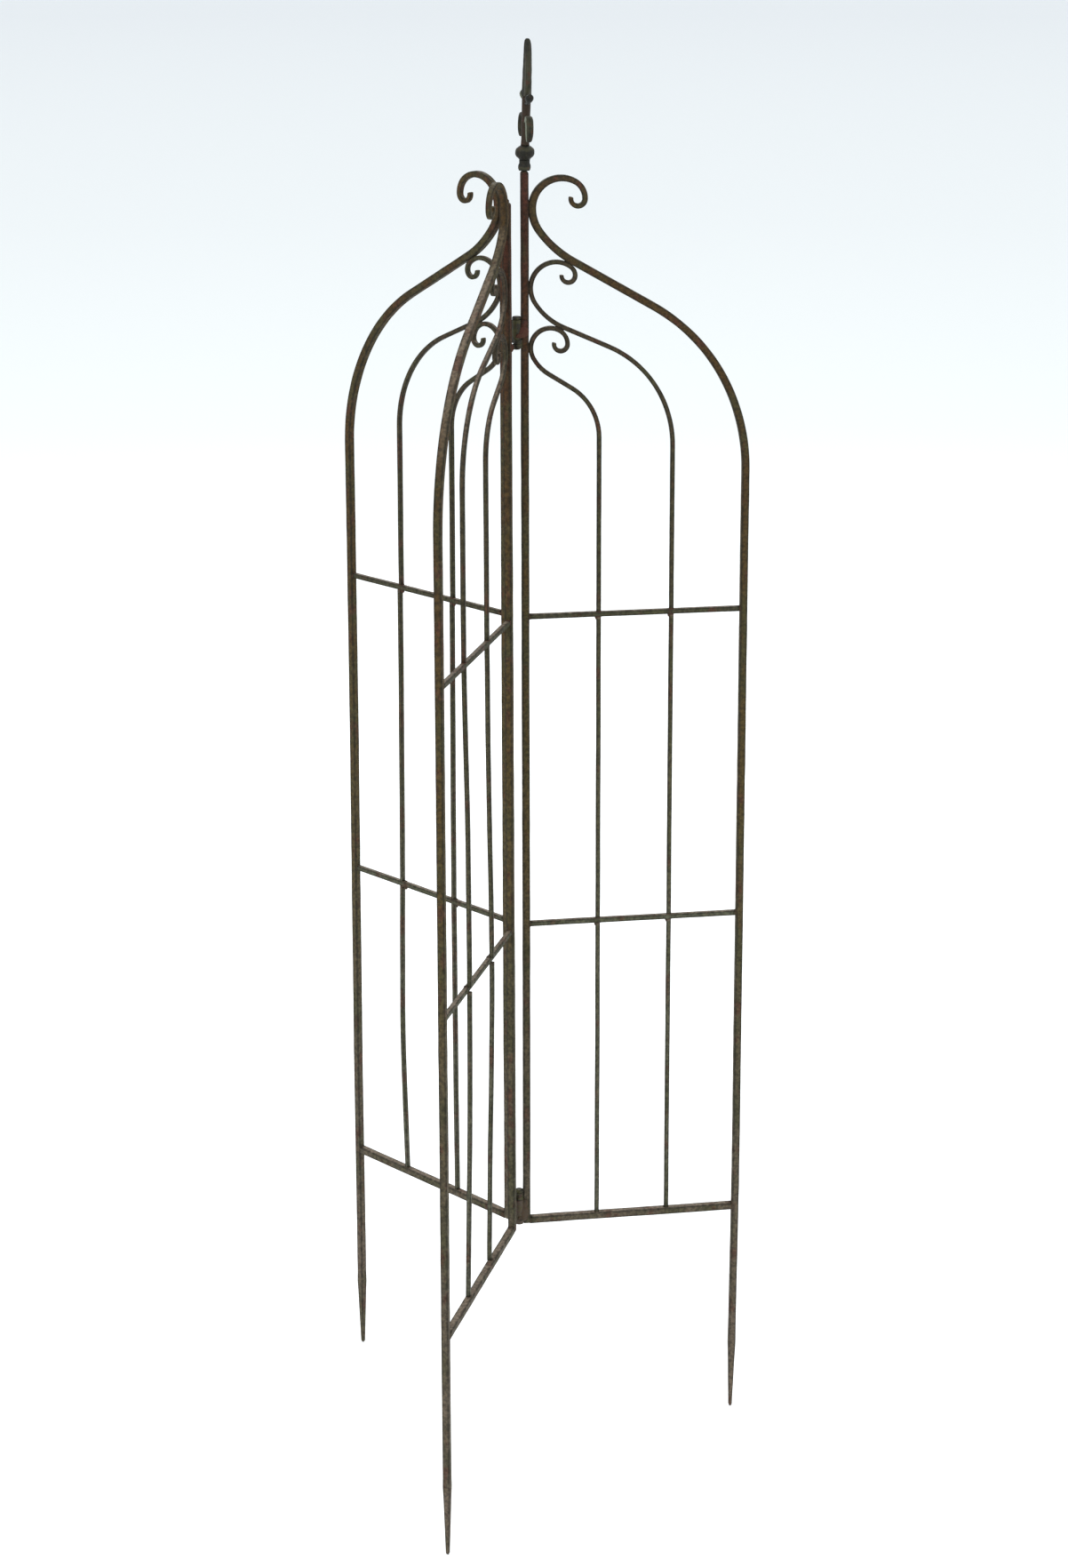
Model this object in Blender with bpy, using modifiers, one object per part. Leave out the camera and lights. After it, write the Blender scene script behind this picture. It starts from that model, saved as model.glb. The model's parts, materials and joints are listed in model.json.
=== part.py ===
"""Folding garden trellis of three hinged wings, welded from square bar.

Wing A stands along +X and carries the finial, the hinge sleeves and the hinge pins.
Wings B and C turn about the same upright axis on eyes that sit between A's sleeves and the
pins. Every wing is a post, a scrolled arch bar whose leg ends in a ground spike, two scrolled
rods under it, and three rails. All sizes are in metres and +Z is up.
"""

import math

import bpy
from mathutils import Vector

# Stock sizes
FRAME_BAR = 0.008
RAIL_BAR = 0.0055
ROD_BAR = 0.0047
BAR_EDGE = 0.0006
WELD_GAP = 0.0003

# One wing: its width between the centre lines of post and leg, and its heights between the
# ground, the centre lines of the three rails and the point where the arch touches the post
SPAN = 0.250
BOTTOM_RAIL_Z = 0.272
LOWER_BAY = 0.377
UPPER_BAY = 0.3675
ARCH_RISE = 0.454
MIDDLE_RAIL_Z = BOTTOM_RAIL_Z + LOWER_BAY
UPPER_RAIL_Z = MIDDLE_RAIL_Z + UPPER_BAY
ARCH_SEAT_Z = UPPER_RAIL_Z + ARCH_RISE
SPIKE_LENGTH = 0.087
SPIKE_TIP = 0.0036
POST_STUB = 0.009
POST_STUB_ROUNDING = 0.003
POST_STUB_NARROWING = 0.45

# Arch bar: bends as (radius, degrees) below and above the point where it touches the post
ARCH_RETURN = ((0.042, 36.0), (0.117, 24.5))
ARCH_SHOULDER = 0.212
ARCH_SCROLL = ((0.0318, 120.0), (0.021, 60.0), (0.0078, 196.0))
ARCH_SCROLL_TIP = 0.0048

# Middle and inner rods, hung one below the other so that each scroll touches the bar above
MIDDLE_RETURN = ((0.031, 33.0), (0.073, 33.0))
MIDDLE_SHOULDER = 0.123
MIDDLE_SCROLL = ((0.0275, 130.0), (0.0112, 50.0), (0.0075, 188.0))
INNER_RETURN = ((0.024, 29.0), (0.049, 29.0))
INNER_SHOULDER = 0.066
INNER_SCROLL = ((0.0212, 130.0), (0.017, 50.0), (0.0075, 196.0))
ROD_SCROLL_TIP = 0.0042
ROD_SCROLL_TAPER = 0.0118
BEND_SAG = 0.00025
WIDEST_BEND_STEP = math.radians(18.0)

# Hinge stack on the common axis
PIN_DIAMETER = 0.005
PIN_RUNNING_GAP = 0.0001
PIN_HEAD_DIAMETER = 0.010
PIN_HEAD_HEIGHT = 0.0036
PIN_HEAD_RIM = 0.0016
PIN_HEAD_DOME_STEPS = (0.4, 0.75, 0.95)
PIN_FOOT_DIAMETER = 0.008
PIN_FOOT_HEIGHT = 0.0014
PIN_FOOT_FLAT = 0.7
SLEEVE_DIAMETER = 0.010
EYE_HEIGHT = 0.0045
EYE_SHANK = 0.0038
STACK_GAP = 0.0003
UPPER_SLEEVE_LENGTH = 0.0215
UPPER_SLEEVE_DROP = 0.1405
UPPER_SLEEVE_Z = ARCH_SEAT_Z - UPPER_SLEEVE_DROP
LOWER_SLEEVE_LENGTH = 0.029
LOWER_SLEEVE_LIFT = 0.004
ROUND_SIDES = 24

# Where each wing lies: direction in degrees, post distance from the axis, offset of its plane
# to the left of that direction, and the side of the eye's shank on the same scale
WING_A_OFFSET = 0.0035
EYE_REACH = 0.019
WING_B_ANGLE = 130.0
WING_B_OFFSET = -0.0025
WING_B_SHANK = 0.0
WING_C_ANGLE = 246.0
WING_C_OFFSET = -0.005
WING_C_SHANK = -0.0031

# Finial, stacked upwards on the top of post A
FINIAL_STUB = 0.040
TURNED_STEPS = 8
TURNED_FULLNESS = 0.8
COLLAR_HEIGHT = 0.0112
COLLAR_DIAMETER = 0.0134
COLLAR_NECK = 0.0108
COLLAR_ROLL_HEIGHT = 0.0069
KNOP_HEIGHT = 0.0148
KNOP_DIAMETER = 0.0206
STEM_HEIGHT = 0.0508
STEM_DIAMETER = 0.0096
BLADE_HEIGHT = 0.0594
BLADE_THICKNESS = 0.0104
BLADE_WIDTH_RATIO = 2.35
BLADE_STEPS = (0.996, 0.975, 0.93, 0.84, 0.70, 0.52, 0.34, 0.18, 0.07, 0.0)
BLADE_POINT_POWER = 9.0
BLADE_NARROWING = 0.26
LEAF_THICKNESS = 0.0078
LEAF_DEPTH = 0.0052
LEAF_RISE = 0.0275
LEAF_EDGE = 0.0012
LEAF_START_ANGLE = 42.0
LEAF_BENDS = ((0.016, 110.0), (0.055, 12.0), (0.0034, 95.0))
LEAF_NECK_SCALES = (0.55, 0.75, 0.9)
LEAF_TIP_SCALE = 0.55
LEAF_TIP_LENGTH = 0.0114
BUD_DEPTH = 0.0046
BUD_RISE = 0.0436
BUD_EDGE = 0.0011
BUD_START_ANGLE = 12.0
BUD_STALK_BEND = (0.046, 26.0)
BUD_STALK_SCALE = 0.85
BUD_SCALES = (
    (0.0010, 1.2),
    (0.0023, 1.6),
    (0.0038, 1.75),
    (0.0053, 1.6),
    (0.0065, 1.1),
    (0.0071, 0.5),
)

COLOURS = {
    "bar": (0.110, 0.070, 0.055),
    "rod": (0.120, 0.085, 0.068),
    "hinge": (0.090, 0.055, 0.040),
    "finial": (0.160, 0.140, 0.105),
}


def clear_scene():
    """Removes whatever the file opened with."""
    for item in list(bpy.data.objects):
        bpy.data.objects.remove(item, do_unlink=True)


def new_collection(name):
    """Adds a collection to the scene."""
    collection = bpy.data.collections.new(name)
    bpy.context.scene.collection.children.link(collection)
    return collection


def new_material(name, colour):
    """A weathered steel or iron material in one colour."""
    material = bpy.data.materials.new(name)
    material.use_nodes = True
    shader = material.node_tree.nodes["Principled BSDF"]
    shader.inputs["Base Color"].default_value = (*colour, 1.0)
    shader.inputs["Roughness"].default_value = 0.75
    shader.inputs["Metallic"].default_value = 0.3
    return material


def add_empty(name, parent, location=(0.0, 0.0, 0.0), rotation=(0.0, 0.0, 0.0)):
    """Adds an empty that carries other objects."""
    empty = bpy.data.objects.new(name, None)
    PARTS.objects.link(empty)
    empty.parent = parent
    empty.location = location
    empty.rotation_euler = rotation
    return empty


def add_part(name, data, parent, kind, location=(0.0, 0.0, 0.0), rotation=(0.0, 0.0, 0.0)):
    """Adds one named piece with its own material."""
    part = bpy.data.objects.new(name, data)
    PARTS.objects.link(part)
    part.parent = parent
    part.location = location
    part.rotation_euler = rotation
    data.materials.append(new_material(name, COLOURS[kind]))
    return part


def bend_path(start, heading, bends):
    """Points and end heading of a bar bent in (radius, turn) steps; left turns are positive."""
    x, y = start
    points = [(x, y)]
    for radius, turn in bends:
        angle = math.radians(turn)
        side = math.copysign(1.0, angle)
        centre_x = x - side * radius * math.sin(heading)
        centre_y = y + side * radius * math.cos(heading)
        step_angle = min(WIDEST_BEND_STEP, 2 * math.acos(1.0 - BEND_SAG / radius))
        count = max(3, math.ceil(abs(angle) / step_angle))
        for step in range(1, count + 1):
            now = heading + angle * step / count
            x = centre_x + side * radius * math.sin(now)
            y = centre_y - side * radius * math.cos(now)
            points.append((x, y))
        heading += angle
    return points, heading


def arch_route(seat_x, returns, shoulder, scroll, leg_x):
    """Centre line of an arch from the top of its leg to the end of its scroll.

    The scroll touches the post at (seat_x, 0). Between the bends lies one straight slope, as
    long as the distance to the leg needs.
    """
    seat = (seat_x, 0.0)
    lower, slope = bend_path(seat, -math.pi / 2, returns)
    turn_back = -sum(turn for _, turn in returns)
    bend_end, _ = bend_path(lower[-1], slope, ((shoulder, turn_back),))
    slope_length = (leg_x - bend_end[-1][0]) / math.cos(slope)
    slope_end = (
        lower[-1][0] + slope_length * math.cos(slope),
        lower[-1][1] + slope_length * math.sin(slope),
    )
    outer, _ = bend_path(slope_end, slope, ((shoulder, turn_back),))
    upper, _ = bend_path(seat, math.pi / 2, tuple((r, -turn) for r, turn in scroll))
    return outer[::-1] + lower[::-1] + upper[1:]


def lifted(route, height):
    """The route moved up by a height."""
    return [(x, y + height) for x, y in route]


def point_to_segment(point, start, end):
    """Distance from a point to a straight segment."""
    p, a, b = Vector(point), Vector(start), Vector(end)
    along = b - a
    share = max(0.0, min(1.0, (p - a).dot(along) / along.length_squared))
    return (p - a - along * share).length


def route_distance(first, second):
    """Smallest distance between two centre lines."""
    pairs = [(first, second), (second, first)]
    return min(
        point_to_segment(point, start, end)
        for points, line in pairs
        for point in points
        for start, end in zip(line, line[1:])
    )


def hung_below(route, upper_route, spacing):
    """The route raised until its centre line is just the spacing below the bar above it."""
    low, high = 0.0, max(y for _, y in upper_route) - max(y for _, y in route)
    for _ in range(24):
        middle = (low + high) / 2
        if route_distance(lifted(route, middle), upper_route) > spacing:
            low = middle
        else:
            high = middle
    return lifted(route, low)


def lengths_along(route):
    """Distance of each point of a route from its start."""
    total = 0.0
    lengths = [0.0]
    for start, end in zip(route, route[1:]):
        total += math.dist(start, end)
        lengths.append(total)
    return lengths


def end_taper(route, length, tip_scale):
    """Scale of the section at each point, drawn down evenly over the last length."""
    lengths = lengths_along(route)
    scales = []
    for place in lengths:
        share = min(1.0, (lengths[-1] - place) / length)
        scales.append(tip_scale + (1.0 - tip_scale) * share)
    return scales


def square_section(name, width, depth, edge):
    """Guide curve for a bar's section: a rectangle with worn corners."""
    x, y = width / 2, depth / 2
    corners = [(-x, y - edge), (edge - x, y), (x - edge, y), (x, y - edge)]
    corners += [(-px, -py) for px, py in corners]
    curve = bpy.data.curves.new(name, "CURVE")
    curve.dimensions = "2D"
    spline = curve.splines.new("POLY")
    spline.points.add(len(corners) - 1)
    for point, (px, py) in zip(spline.points, corners):
        point.co = (px, py, 0.0, 1.0)
    spline.use_cyclic_u = True
    guide = bpy.data.objects.new(name, curve)
    GUIDES.objects.link(guide)
    guide.hide_render = True
    guide.display_type = "WIRE"
    return guide


def add_bar(name, route, scales, section, parent, kind):
    """A bar bent in its parent's XY plane, with the section scaled at each point."""
    curve = bpy.data.curves.new(name, "CURVE")
    curve.dimensions = "3D"
    curve.twist_mode = "Z_UP"
    curve.bevel_mode = "OBJECT"
    curve.bevel_object = section
    curve.use_fill_caps = True
    spline = curve.splines.new("POLY")
    spline.points.add(len(route) - 1)
    spline.use_smooth = False
    for point, (x, y), scale in zip(spline.points, route, scales):
        point.co = (x, y, 0.0, 1.0)
        point.radius = scale
    return add_part(name, curve, parent, kind)


def add_straight(name, bar, start, end, parent, kind):
    """A straight square bar between two points of its parent's XY plane."""
    route = [start, end]
    return add_bar(name, route, [1.0, 1.0], SECTIONS[bar], parent, kind)


def add_turned(name, profile, parent, kind, location, closed=False):
    """A body turned about its local Z from a profile of (radius, height) points."""
    mesh = bpy.data.meshes.new(name)
    count = len(profile)
    edges = [(i, i + 1) for i in range(count - 1)]
    if closed:
        edges.append((count - 1, 0))
    mesh.from_pydata([(radius, 0.0, height) for radius, height in profile], edges, [])
    part = add_part(name, mesh, parent, kind, location)
    screw = part.modifiers.new("Turn", "SCREW")
    screw.axis = "Z"
    screw.steps = ROUND_SIDES
    screw.render_steps = ROUND_SIDES
    screw.use_merge_vertices = True
    screw.merge_threshold = 0.00001
    screw.use_smooth_shade = True
    return part


def wing_plane(name, angle, offset, root):
    """Empties for a wing: one on the hinge axis, and one whose XY plane is the wing's plane."""
    axis = add_empty(f"{name}_axis", root, rotation=(0.0, 0.0, math.radians(angle)))
    plane = add_empty(f"{name}_plane", axis, (0.0, offset, 0.0), (math.pi / 2, 0.0, 0.0))
    return axis, plane


def add_post(wing, reach, top, rounded, plane):
    """The upright bar beside the hinge, its foot level with the bottom rail."""
    foot = BOTTOM_RAIL_Z - FRAME_BAR / 2
    route = [(reach, foot), (reach, top)]
    scales = [1.0, 1.0]
    if rounded:
        route = [(reach, foot), (reach, top - POST_STUB_ROUNDING)]
        for share in (0.5, 0.85, 1.0):
            route.append((reach, top - POST_STUB_ROUNDING * (1.0 - share)))
            scales.append(1.0 - POST_STUB_NARROWING * share**3)
    add_bar(f"post_{wing}", route, scales, SECTIONS["frame"], plane, "bar")


def arch_scales(route):
    """Section scale along the arch bar: drawn out to the spike below and the scroll's tip above."""
    lengths = lengths_along(route)
    scroll_length = sum(radius * math.radians(turn) for radius, turn in ARCH_SCROLL)
    tip = ARCH_SCROLL_TIP / FRAME_BAR
    spike = SPIKE_TIP / FRAME_BAR
    scales = []
    for place, drawn in zip(lengths, end_taper(route, scroll_length, tip)):
        share = min(1.0, place / SPIKE_LENGTH)
        scales.append(min(drawn, spike + (1.0 - spike) * share))
    return scales


def add_rails(wing, reach, plane):
    """Three rails from the post to the leg."""
    rails = (
        ("bottom_rail", "frame", BOTTOM_RAIL_Z),
        ("middle_rail", "rail", MIDDLE_RAIL_Z),
        ("upper_rail", "rail", UPPER_RAIL_Z),
    )
    clear = FRAME_BAR / 2 + WELD_GAP
    for name, bar, height in rails:
        start = (reach + clear, height)
        end = (reach + SPAN - clear, height)
        add_straight(f"{name}_{wing}", bar, start, end, plane, "bar")


def add_rods(wing, name, x, arch_top, plane):
    """The lengths of one rod below its arch: one in each bay between the rails."""
    rail_clear = RAIL_BAR / 2 + WELD_GAP
    lower = (x, BOTTOM_RAIL_Z + FRAME_BAR / 2 + WELD_GAP)
    add_straight(f"{name}_rod_lower_{wing}", "rod", lower, (x, MIDDLE_RAIL_Z - rail_clear),
                 plane, "rod")
    add_straight(f"{name}_rod_upper_{wing}", "rod", (x, MIDDLE_RAIL_Z + rail_clear),
                 (x, UPPER_RAIL_Z - rail_clear), plane, "rod")
    route = [(x, UPPER_RAIL_Z + rail_clear)] + arch_top
    scroll_tip = ROD_SCROLL_TIP / ROD_BAR
    scales = end_taper(route, ROD_SCROLL_TAPER, scroll_tip)
    add_bar(f"{name}_arch_{wing}", route, scales, SECTIONS["rod"], plane, "rod")


def add_wing(wing, reach, post_top, rounded, plane):
    """All the welded bars of one wing."""
    add_post(wing, reach, post_top, rounded, plane)
    add_rails(wing, reach, plane)
    leg_x = reach + SPAN
    middle_x = reach + SPAN * 2 / 3
    inner_x = reach + SPAN / 3
    arch_seat = reach + FRAME_BAR + WELD_GAP
    rod_seat = reach + (FRAME_BAR + ROD_BAR) / 2 + WELD_GAP
    arch = arch_route(arch_seat, ARCH_RETURN, ARCH_SHOULDER, ARCH_SCROLL, leg_x)
    arch = lifted(arch, ARCH_SEAT_Z)
    route = [(leg_x, 0.0), (leg_x, SPIKE_LENGTH)] + arch
    add_bar(f"arch_{wing}", route, arch_scales(route), SECTIONS["frame"], plane, "bar")
    middle = arch_route(rod_seat, MIDDLE_RETURN, MIDDLE_SHOULDER, MIDDLE_SCROLL, middle_x)
    middle = hung_below(middle, arch, (FRAME_BAR + ROD_BAR) / 2 + WELD_GAP)
    add_rods(wing, "middle", middle_x, middle, plane)
    inner = arch_route(rod_seat, INNER_RETURN, INNER_SHOULDER, INNER_SCROLL, inner_x)
    inner = hung_below(inner, middle, ROD_BAR + WELD_GAP)
    add_rods(wing, "inner", inner_x, inner, plane)


def add_sleeve(name, length, base, axis):
    """A tube on the hinge axis, bored for the pin."""
    outer = SLEEVE_DIAMETER / 2
    bore = PIN_DIAMETER / 2 + PIN_RUNNING_GAP
    profile = [(outer, length), (outer, 0.0), (bore, 0.0), (bore, length)]
    add_turned(name, profile, axis, "hinge", (0.0, 0.0, base), closed=True)


def add_pin(name, top, bottom, footed, axis):
    """A pin with a domed head above the height top, and a riveted foot if footed."""
    shank = PIN_DIAMETER / 2
    head = PIN_HEAD_DIAMETER / 2
    length = top - bottom
    profile = [(0.0, length + PIN_HEAD_HEIGHT)]
    for share in PIN_HEAD_DOME_STEPS:
        rise = (PIN_HEAD_HEIGHT - PIN_HEAD_RIM) * math.sqrt(1.0 - share**2)
        profile.append((head * share, length + PIN_HEAD_RIM + rise))
    profile += [(head, length + PIN_HEAD_RIM), (head, length), (shank, length)]
    if footed:
        foot = PIN_FOOT_DIAMETER / 2
        profile += [(shank, 0.0), (foot, 0.0), (foot * PIN_FOOT_FLAT, -PIN_FOOT_HEIGHT)]
        profile.append((0.0, -PIN_FOOT_HEIGHT))
    else:
        profile += [(shank, 0.0), (0.0, 0.0)]
    add_turned(name, profile, axis, "hinge", (0.0, 0.0, bottom))


def add_eye(name, shank_side, base, axis):
    """A forged eye round the pin, with a shank that reaches the wing's post."""
    ring = SLEEVE_DIAMETER / 2
    bore = PIN_DIAMETER / 2 + PIN_RUNNING_GAP
    low = max(shank_side - EYE_SHANK / 2, -ring)
    high = shank_side + EYE_SHANK / 2
    tip = EYE_REACH - FRAME_BAR / 2 - WELD_GAP
    first = math.asin(high / ring)
    last = 2 * math.pi + math.asin(low / ring)
    outline = [(tip, low), (tip, high)]
    for step in range(ROUND_SIDES):
        angle = first + (last - first) * step / (ROUND_SIDES - 1)
        outline.append((ring * math.cos(angle), ring * math.sin(angle)))
    hole = []
    for step in range(ROUND_SIDES):
        angle = 2 * math.pi * step / ROUND_SIDES
        hole.append((bore * math.cos(angle), bore * math.sin(angle)))
    curve = bpy.data.curves.new(name, "CURVE")
    curve.dimensions = "2D"
    curve.fill_mode = "BOTH"
    curve.extrude = EYE_HEIGHT / 2
    for points in (outline, hole):
        spline = curve.splines.new("POLY")
        spline.points.add(len(points) - 1)
        spline.use_cyclic_u = True
        for point, (x, y) in zip(spline.points, points):
            point.co = (x, y, 0.0, 1.0)
    add_part(name, curve, axis, "hinge", (0.0, 0.0, base + EYE_HEIGHT / 2))


def add_hinges(axis_a, axis_b, axis_c):
    """Sleeves and pins of wing A, with the eyes of B and C stacked against each sleeve."""
    upper_c = UPPER_SLEEVE_Z - 2 * (STACK_GAP + EYE_HEIGHT)
    upper_b = UPPER_SLEEVE_Z - STACK_GAP - EYE_HEIGHT
    add_sleeve("hinge_sleeve_upper", UPPER_SLEEVE_LENGTH, UPPER_SLEEVE_Z, axis_a)
    head_seat = UPPER_SLEEVE_Z + UPPER_SLEEVE_LENGTH + STACK_GAP
    add_pin("hinge_pin_upper", head_seat, upper_c - STACK_GAP, True, axis_a)
    add_eye("hinge_eye_upper_b", WING_B_SHANK, upper_b, axis_b)
    add_eye("hinge_eye_upper_c", WING_C_SHANK, upper_c, axis_c)
    lower_base = BOTTOM_RAIL_Z - FRAME_BAR / 2 + LOWER_SLEEVE_LIFT
    lower_c = lower_base + LOWER_SLEEVE_LENGTH + STACK_GAP
    lower_b = lower_c + EYE_HEIGHT + STACK_GAP
    add_sleeve("hinge_sleeve_lower", LOWER_SLEEVE_LENGTH, lower_base, axis_a)
    head_seat = lower_b + EYE_HEIGHT + STACK_GAP
    add_pin("hinge_pin_lower", head_seat, lower_base, False, axis_a)
    add_eye("hinge_eye_lower_b", WING_B_SHANK, lower_b, axis_b)
    add_eye("hinge_eye_lower_c", WING_C_SHANK, lower_c, axis_c)


def rounded_profile(radius_bottom, radius_middle, radius_top, height):
    """Half outline of a swelling body: (radius, height) points from its top to its foot."""
    profile = [(0.0, height)]
    for step in range(TURNED_STEPS + 1):
        share = step / TURNED_STEPS
        end_radius = radius_top + (radius_bottom - radius_top) * share
        swell = math.sin(math.pi * share) ** TURNED_FULLNESS * (radius_middle - end_radius)
        profile.append((end_radius + swell, height * (1.0 - share)))
    profile.append((0.0, 0.0))
    return profile


def add_finial(axis, reach, base):
    """Collar, knop, stem and spear blade, with two drooping leaves and two buds on the stem."""
    spot = add_empty("finial_base", axis, (reach, WING_A_OFFSET, base))
    neck = COLLAR_NECK / 2
    stem = STEM_DIAMETER / 2
    level = WELD_GAP
    collar = rounded_profile(neck, COLLAR_DIAMETER / 2, neck, COLLAR_ROLL_HEIGHT)
    collar = [(neck, COLLAR_HEIGHT) if point == collar[1] else point for point in collar]
    collar[0] = (0.0, COLLAR_HEIGHT)
    add_turned("finial_collar", collar, spot, "finial", (0.0, 0.0, level))
    level += COLLAR_HEIGHT + WELD_GAP
    knop = rounded_profile(neck, KNOP_DIAMETER / 2, stem, KNOP_HEIGHT)
    add_turned("finial_knop", knop, spot, "finial", (0.0, 0.0, level))
    level += KNOP_HEIGHT + WELD_GAP
    profile = [(0.0, STEM_HEIGHT), (stem, STEM_HEIGHT), (stem, 0.0), (0.0, 0.0)]
    add_turned("finial_stem", profile, spot, "finial", (0.0, 0.0, level))
    blade = [(0.0, BLADE_HEIGHT)]
    for share in BLADE_STEPS:
        point = math.sqrt(1.0 - share**BLADE_POINT_POWER)
        swell = point * (1.0 - BLADE_NARROWING * share)
        blade.append((BLADE_THICKNESS / 2 * swell, BLADE_HEIGHT * share))
    blade.append((0.0, 0.0))
    part = add_turned("finial_blade", blade, spot, "finial",
                      (0.0, 0.0, level + STEM_HEIGHT + WELD_GAP))
    part.scale = (1.0, BLADE_WIDTH_RATIO, 1.0)
    leaf_section = square_section("leaf_section", LEAF_DEPTH, LEAF_THICKNESS, LEAF_EDGE)
    bud_section = square_section("bud_section", BUD_DEPTH, BUD_DEPTH, BUD_EDGE)
    first_leaf_scale = LEAF_NECK_SCALES[0]
    leaf_clear = stem + WELD_GAP + LEAF_DEPTH / 2 * first_leaf_scale
    bud_lean = math.sin(math.radians(BUD_START_ANGLE))
    bud_clear = stem + WELD_GAP + BUD_DEPTH / 2 * BUD_STALK_SCALE * bud_lean
    for side, turn in (("left", math.pi / 2), ("right", -math.pi / 2)):
        plane = add_empty(f"finial_{side}_plane", spot, (0.0, 0.0, level),
                          (math.pi / 2, 0.0, turn))
        bends = tuple((radius, -bend) for radius, bend in LEAF_BENDS)
        route, _ = bend_path((leaf_clear, LEAF_RISE), math.radians(LEAF_START_ANGLE), bends)
        scales = end_taper(route, LEAF_TIP_LENGTH, LEAF_TIP_SCALE)
        scales[:len(LEAF_NECK_SCALES)] = LEAF_NECK_SCALES
        add_bar(f"finial_leaf_{side}", route, scales, leaf_section, plane, "finial")
        route, heading = bend_path((bud_clear, BUD_RISE), math.radians(BUD_START_ANGLE),
                                   (BUD_STALK_BEND,))
        scales = [BUD_STALK_SCALE] * len(route)
        tip_x, tip_y = route[-1]
        for run, scale in BUD_SCALES:
            route.append((tip_x + run * math.cos(heading), tip_y + run * math.sin(heading)))
            scales.append(scale)
        add_bar(f"finial_bud_{side}", route, scales, bud_section, plane, "finial")


def centre_on_origin(root):
    """Moves the root so that the bounding box stands on the origin by the middle of its base."""
    bpy.context.view_layer.update()
    graph = bpy.context.evaluated_depsgraph_get()
    xs, ys = [], []
    for part in PARTS.objects:
        if part.type == "EMPTY":
            continue
        evaluated = part.evaluated_get(graph)
        mesh = evaluated.to_mesh()
        for vertex in mesh.vertices:
            place = evaluated.matrix_world @ vertex.co
            xs.append(place.x)
            ys.append(place.y)
        evaluated.to_mesh_clear()
    root.location = (-(min(xs) + max(xs)) / 2, -(min(ys) + max(ys)) / 2, 0.0)


clear_scene()
PARTS = new_collection("folding_trellis")
GUIDES = new_collection("guides")
SECTIONS = {
    "frame": square_section("frame_section", FRAME_BAR, FRAME_BAR, BAR_EDGE),
    "rail": square_section("rail_section", RAIL_BAR, RAIL_BAR, BAR_EDGE),
    "rod": square_section("rod_section", ROD_BAR, ROD_BAR, BAR_EDGE),
}
ROOT = add_empty("trellis", None)
SLEEVE_REACH = SLEEVE_DIAMETER / 2 + WELD_GAP + FRAME_BAR / 2
AXIS_A, PLANE_A = wing_plane("wing_a", 0.0, WING_A_OFFSET, ROOT)
AXIS_B, PLANE_B = wing_plane("wing_b", WING_B_ANGLE, WING_B_OFFSET, ROOT)
AXIS_C, PLANE_C = wing_plane("wing_c", WING_C_ANGLE, WING_C_OFFSET, ROOT)
FINIAL_Z = ARCH_SEAT_Z + FINIAL_STUB
add_wing("a", SLEEVE_REACH, FINIAL_Z, False, PLANE_A)
add_wing("b", EYE_REACH, ARCH_SEAT_Z + POST_STUB, True, PLANE_B)
add_wing("c", EYE_REACH, ARCH_SEAT_Z + POST_STUB, True, PLANE_C)
add_hinges(AXIS_A, AXIS_B, AXIS_C)
add_finial(AXIS_A, SLEEVE_REACH, FINIAL_Z)
centre_on_origin(ROOT)
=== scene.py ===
"""Folding garden trellis: the visible bars, welds, hinges and finial over the fixed frame.

Each of three like wings is a flat panel of square bar. The pieces here stand where the frame's
own solids stand, with the soft corners, weld beads, forged ends, small bends and rusted surface
of the real thing, with some light and shade painted in. All sizes are in metres and +Z is up.
"""

import json
import math

import bmesh
import bpy
from mathutils import Matrix, Vector, noise


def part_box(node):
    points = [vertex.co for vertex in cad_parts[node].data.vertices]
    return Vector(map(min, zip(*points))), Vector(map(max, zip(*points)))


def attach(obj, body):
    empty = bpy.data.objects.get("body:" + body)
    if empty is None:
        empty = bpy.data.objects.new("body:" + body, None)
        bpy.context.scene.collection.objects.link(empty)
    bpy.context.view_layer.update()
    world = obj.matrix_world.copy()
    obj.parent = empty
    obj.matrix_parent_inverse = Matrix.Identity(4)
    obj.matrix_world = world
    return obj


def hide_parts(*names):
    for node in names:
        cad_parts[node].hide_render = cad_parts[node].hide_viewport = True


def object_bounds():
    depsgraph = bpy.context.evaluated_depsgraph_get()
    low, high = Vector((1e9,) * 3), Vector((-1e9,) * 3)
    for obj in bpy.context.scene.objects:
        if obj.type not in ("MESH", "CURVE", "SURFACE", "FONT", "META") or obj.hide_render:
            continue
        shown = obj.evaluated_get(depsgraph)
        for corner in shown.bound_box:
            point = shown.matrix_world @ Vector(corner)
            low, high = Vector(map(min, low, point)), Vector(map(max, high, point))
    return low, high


bl_info = {
    "name": "Folding garden trellis",
    "version": (1, 0, 0),
    "blender": (4, 5, 0),
    "location": "View3D > Sidebar > Trellis",
    "description": "Builds the bars, welds, hinges and finial of a folding garden trellis",
    "category": "Object",
}

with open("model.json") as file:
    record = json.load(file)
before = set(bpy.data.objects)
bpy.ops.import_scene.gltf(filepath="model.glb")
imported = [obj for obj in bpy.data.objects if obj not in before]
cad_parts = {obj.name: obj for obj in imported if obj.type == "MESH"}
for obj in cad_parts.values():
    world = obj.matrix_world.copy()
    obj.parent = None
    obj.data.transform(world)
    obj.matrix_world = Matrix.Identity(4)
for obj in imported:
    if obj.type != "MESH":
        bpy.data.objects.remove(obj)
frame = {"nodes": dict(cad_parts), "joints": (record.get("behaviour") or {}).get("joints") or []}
CAD_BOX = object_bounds()

WINGS = ("a", "b", "c")
MM = 0.001

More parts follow.
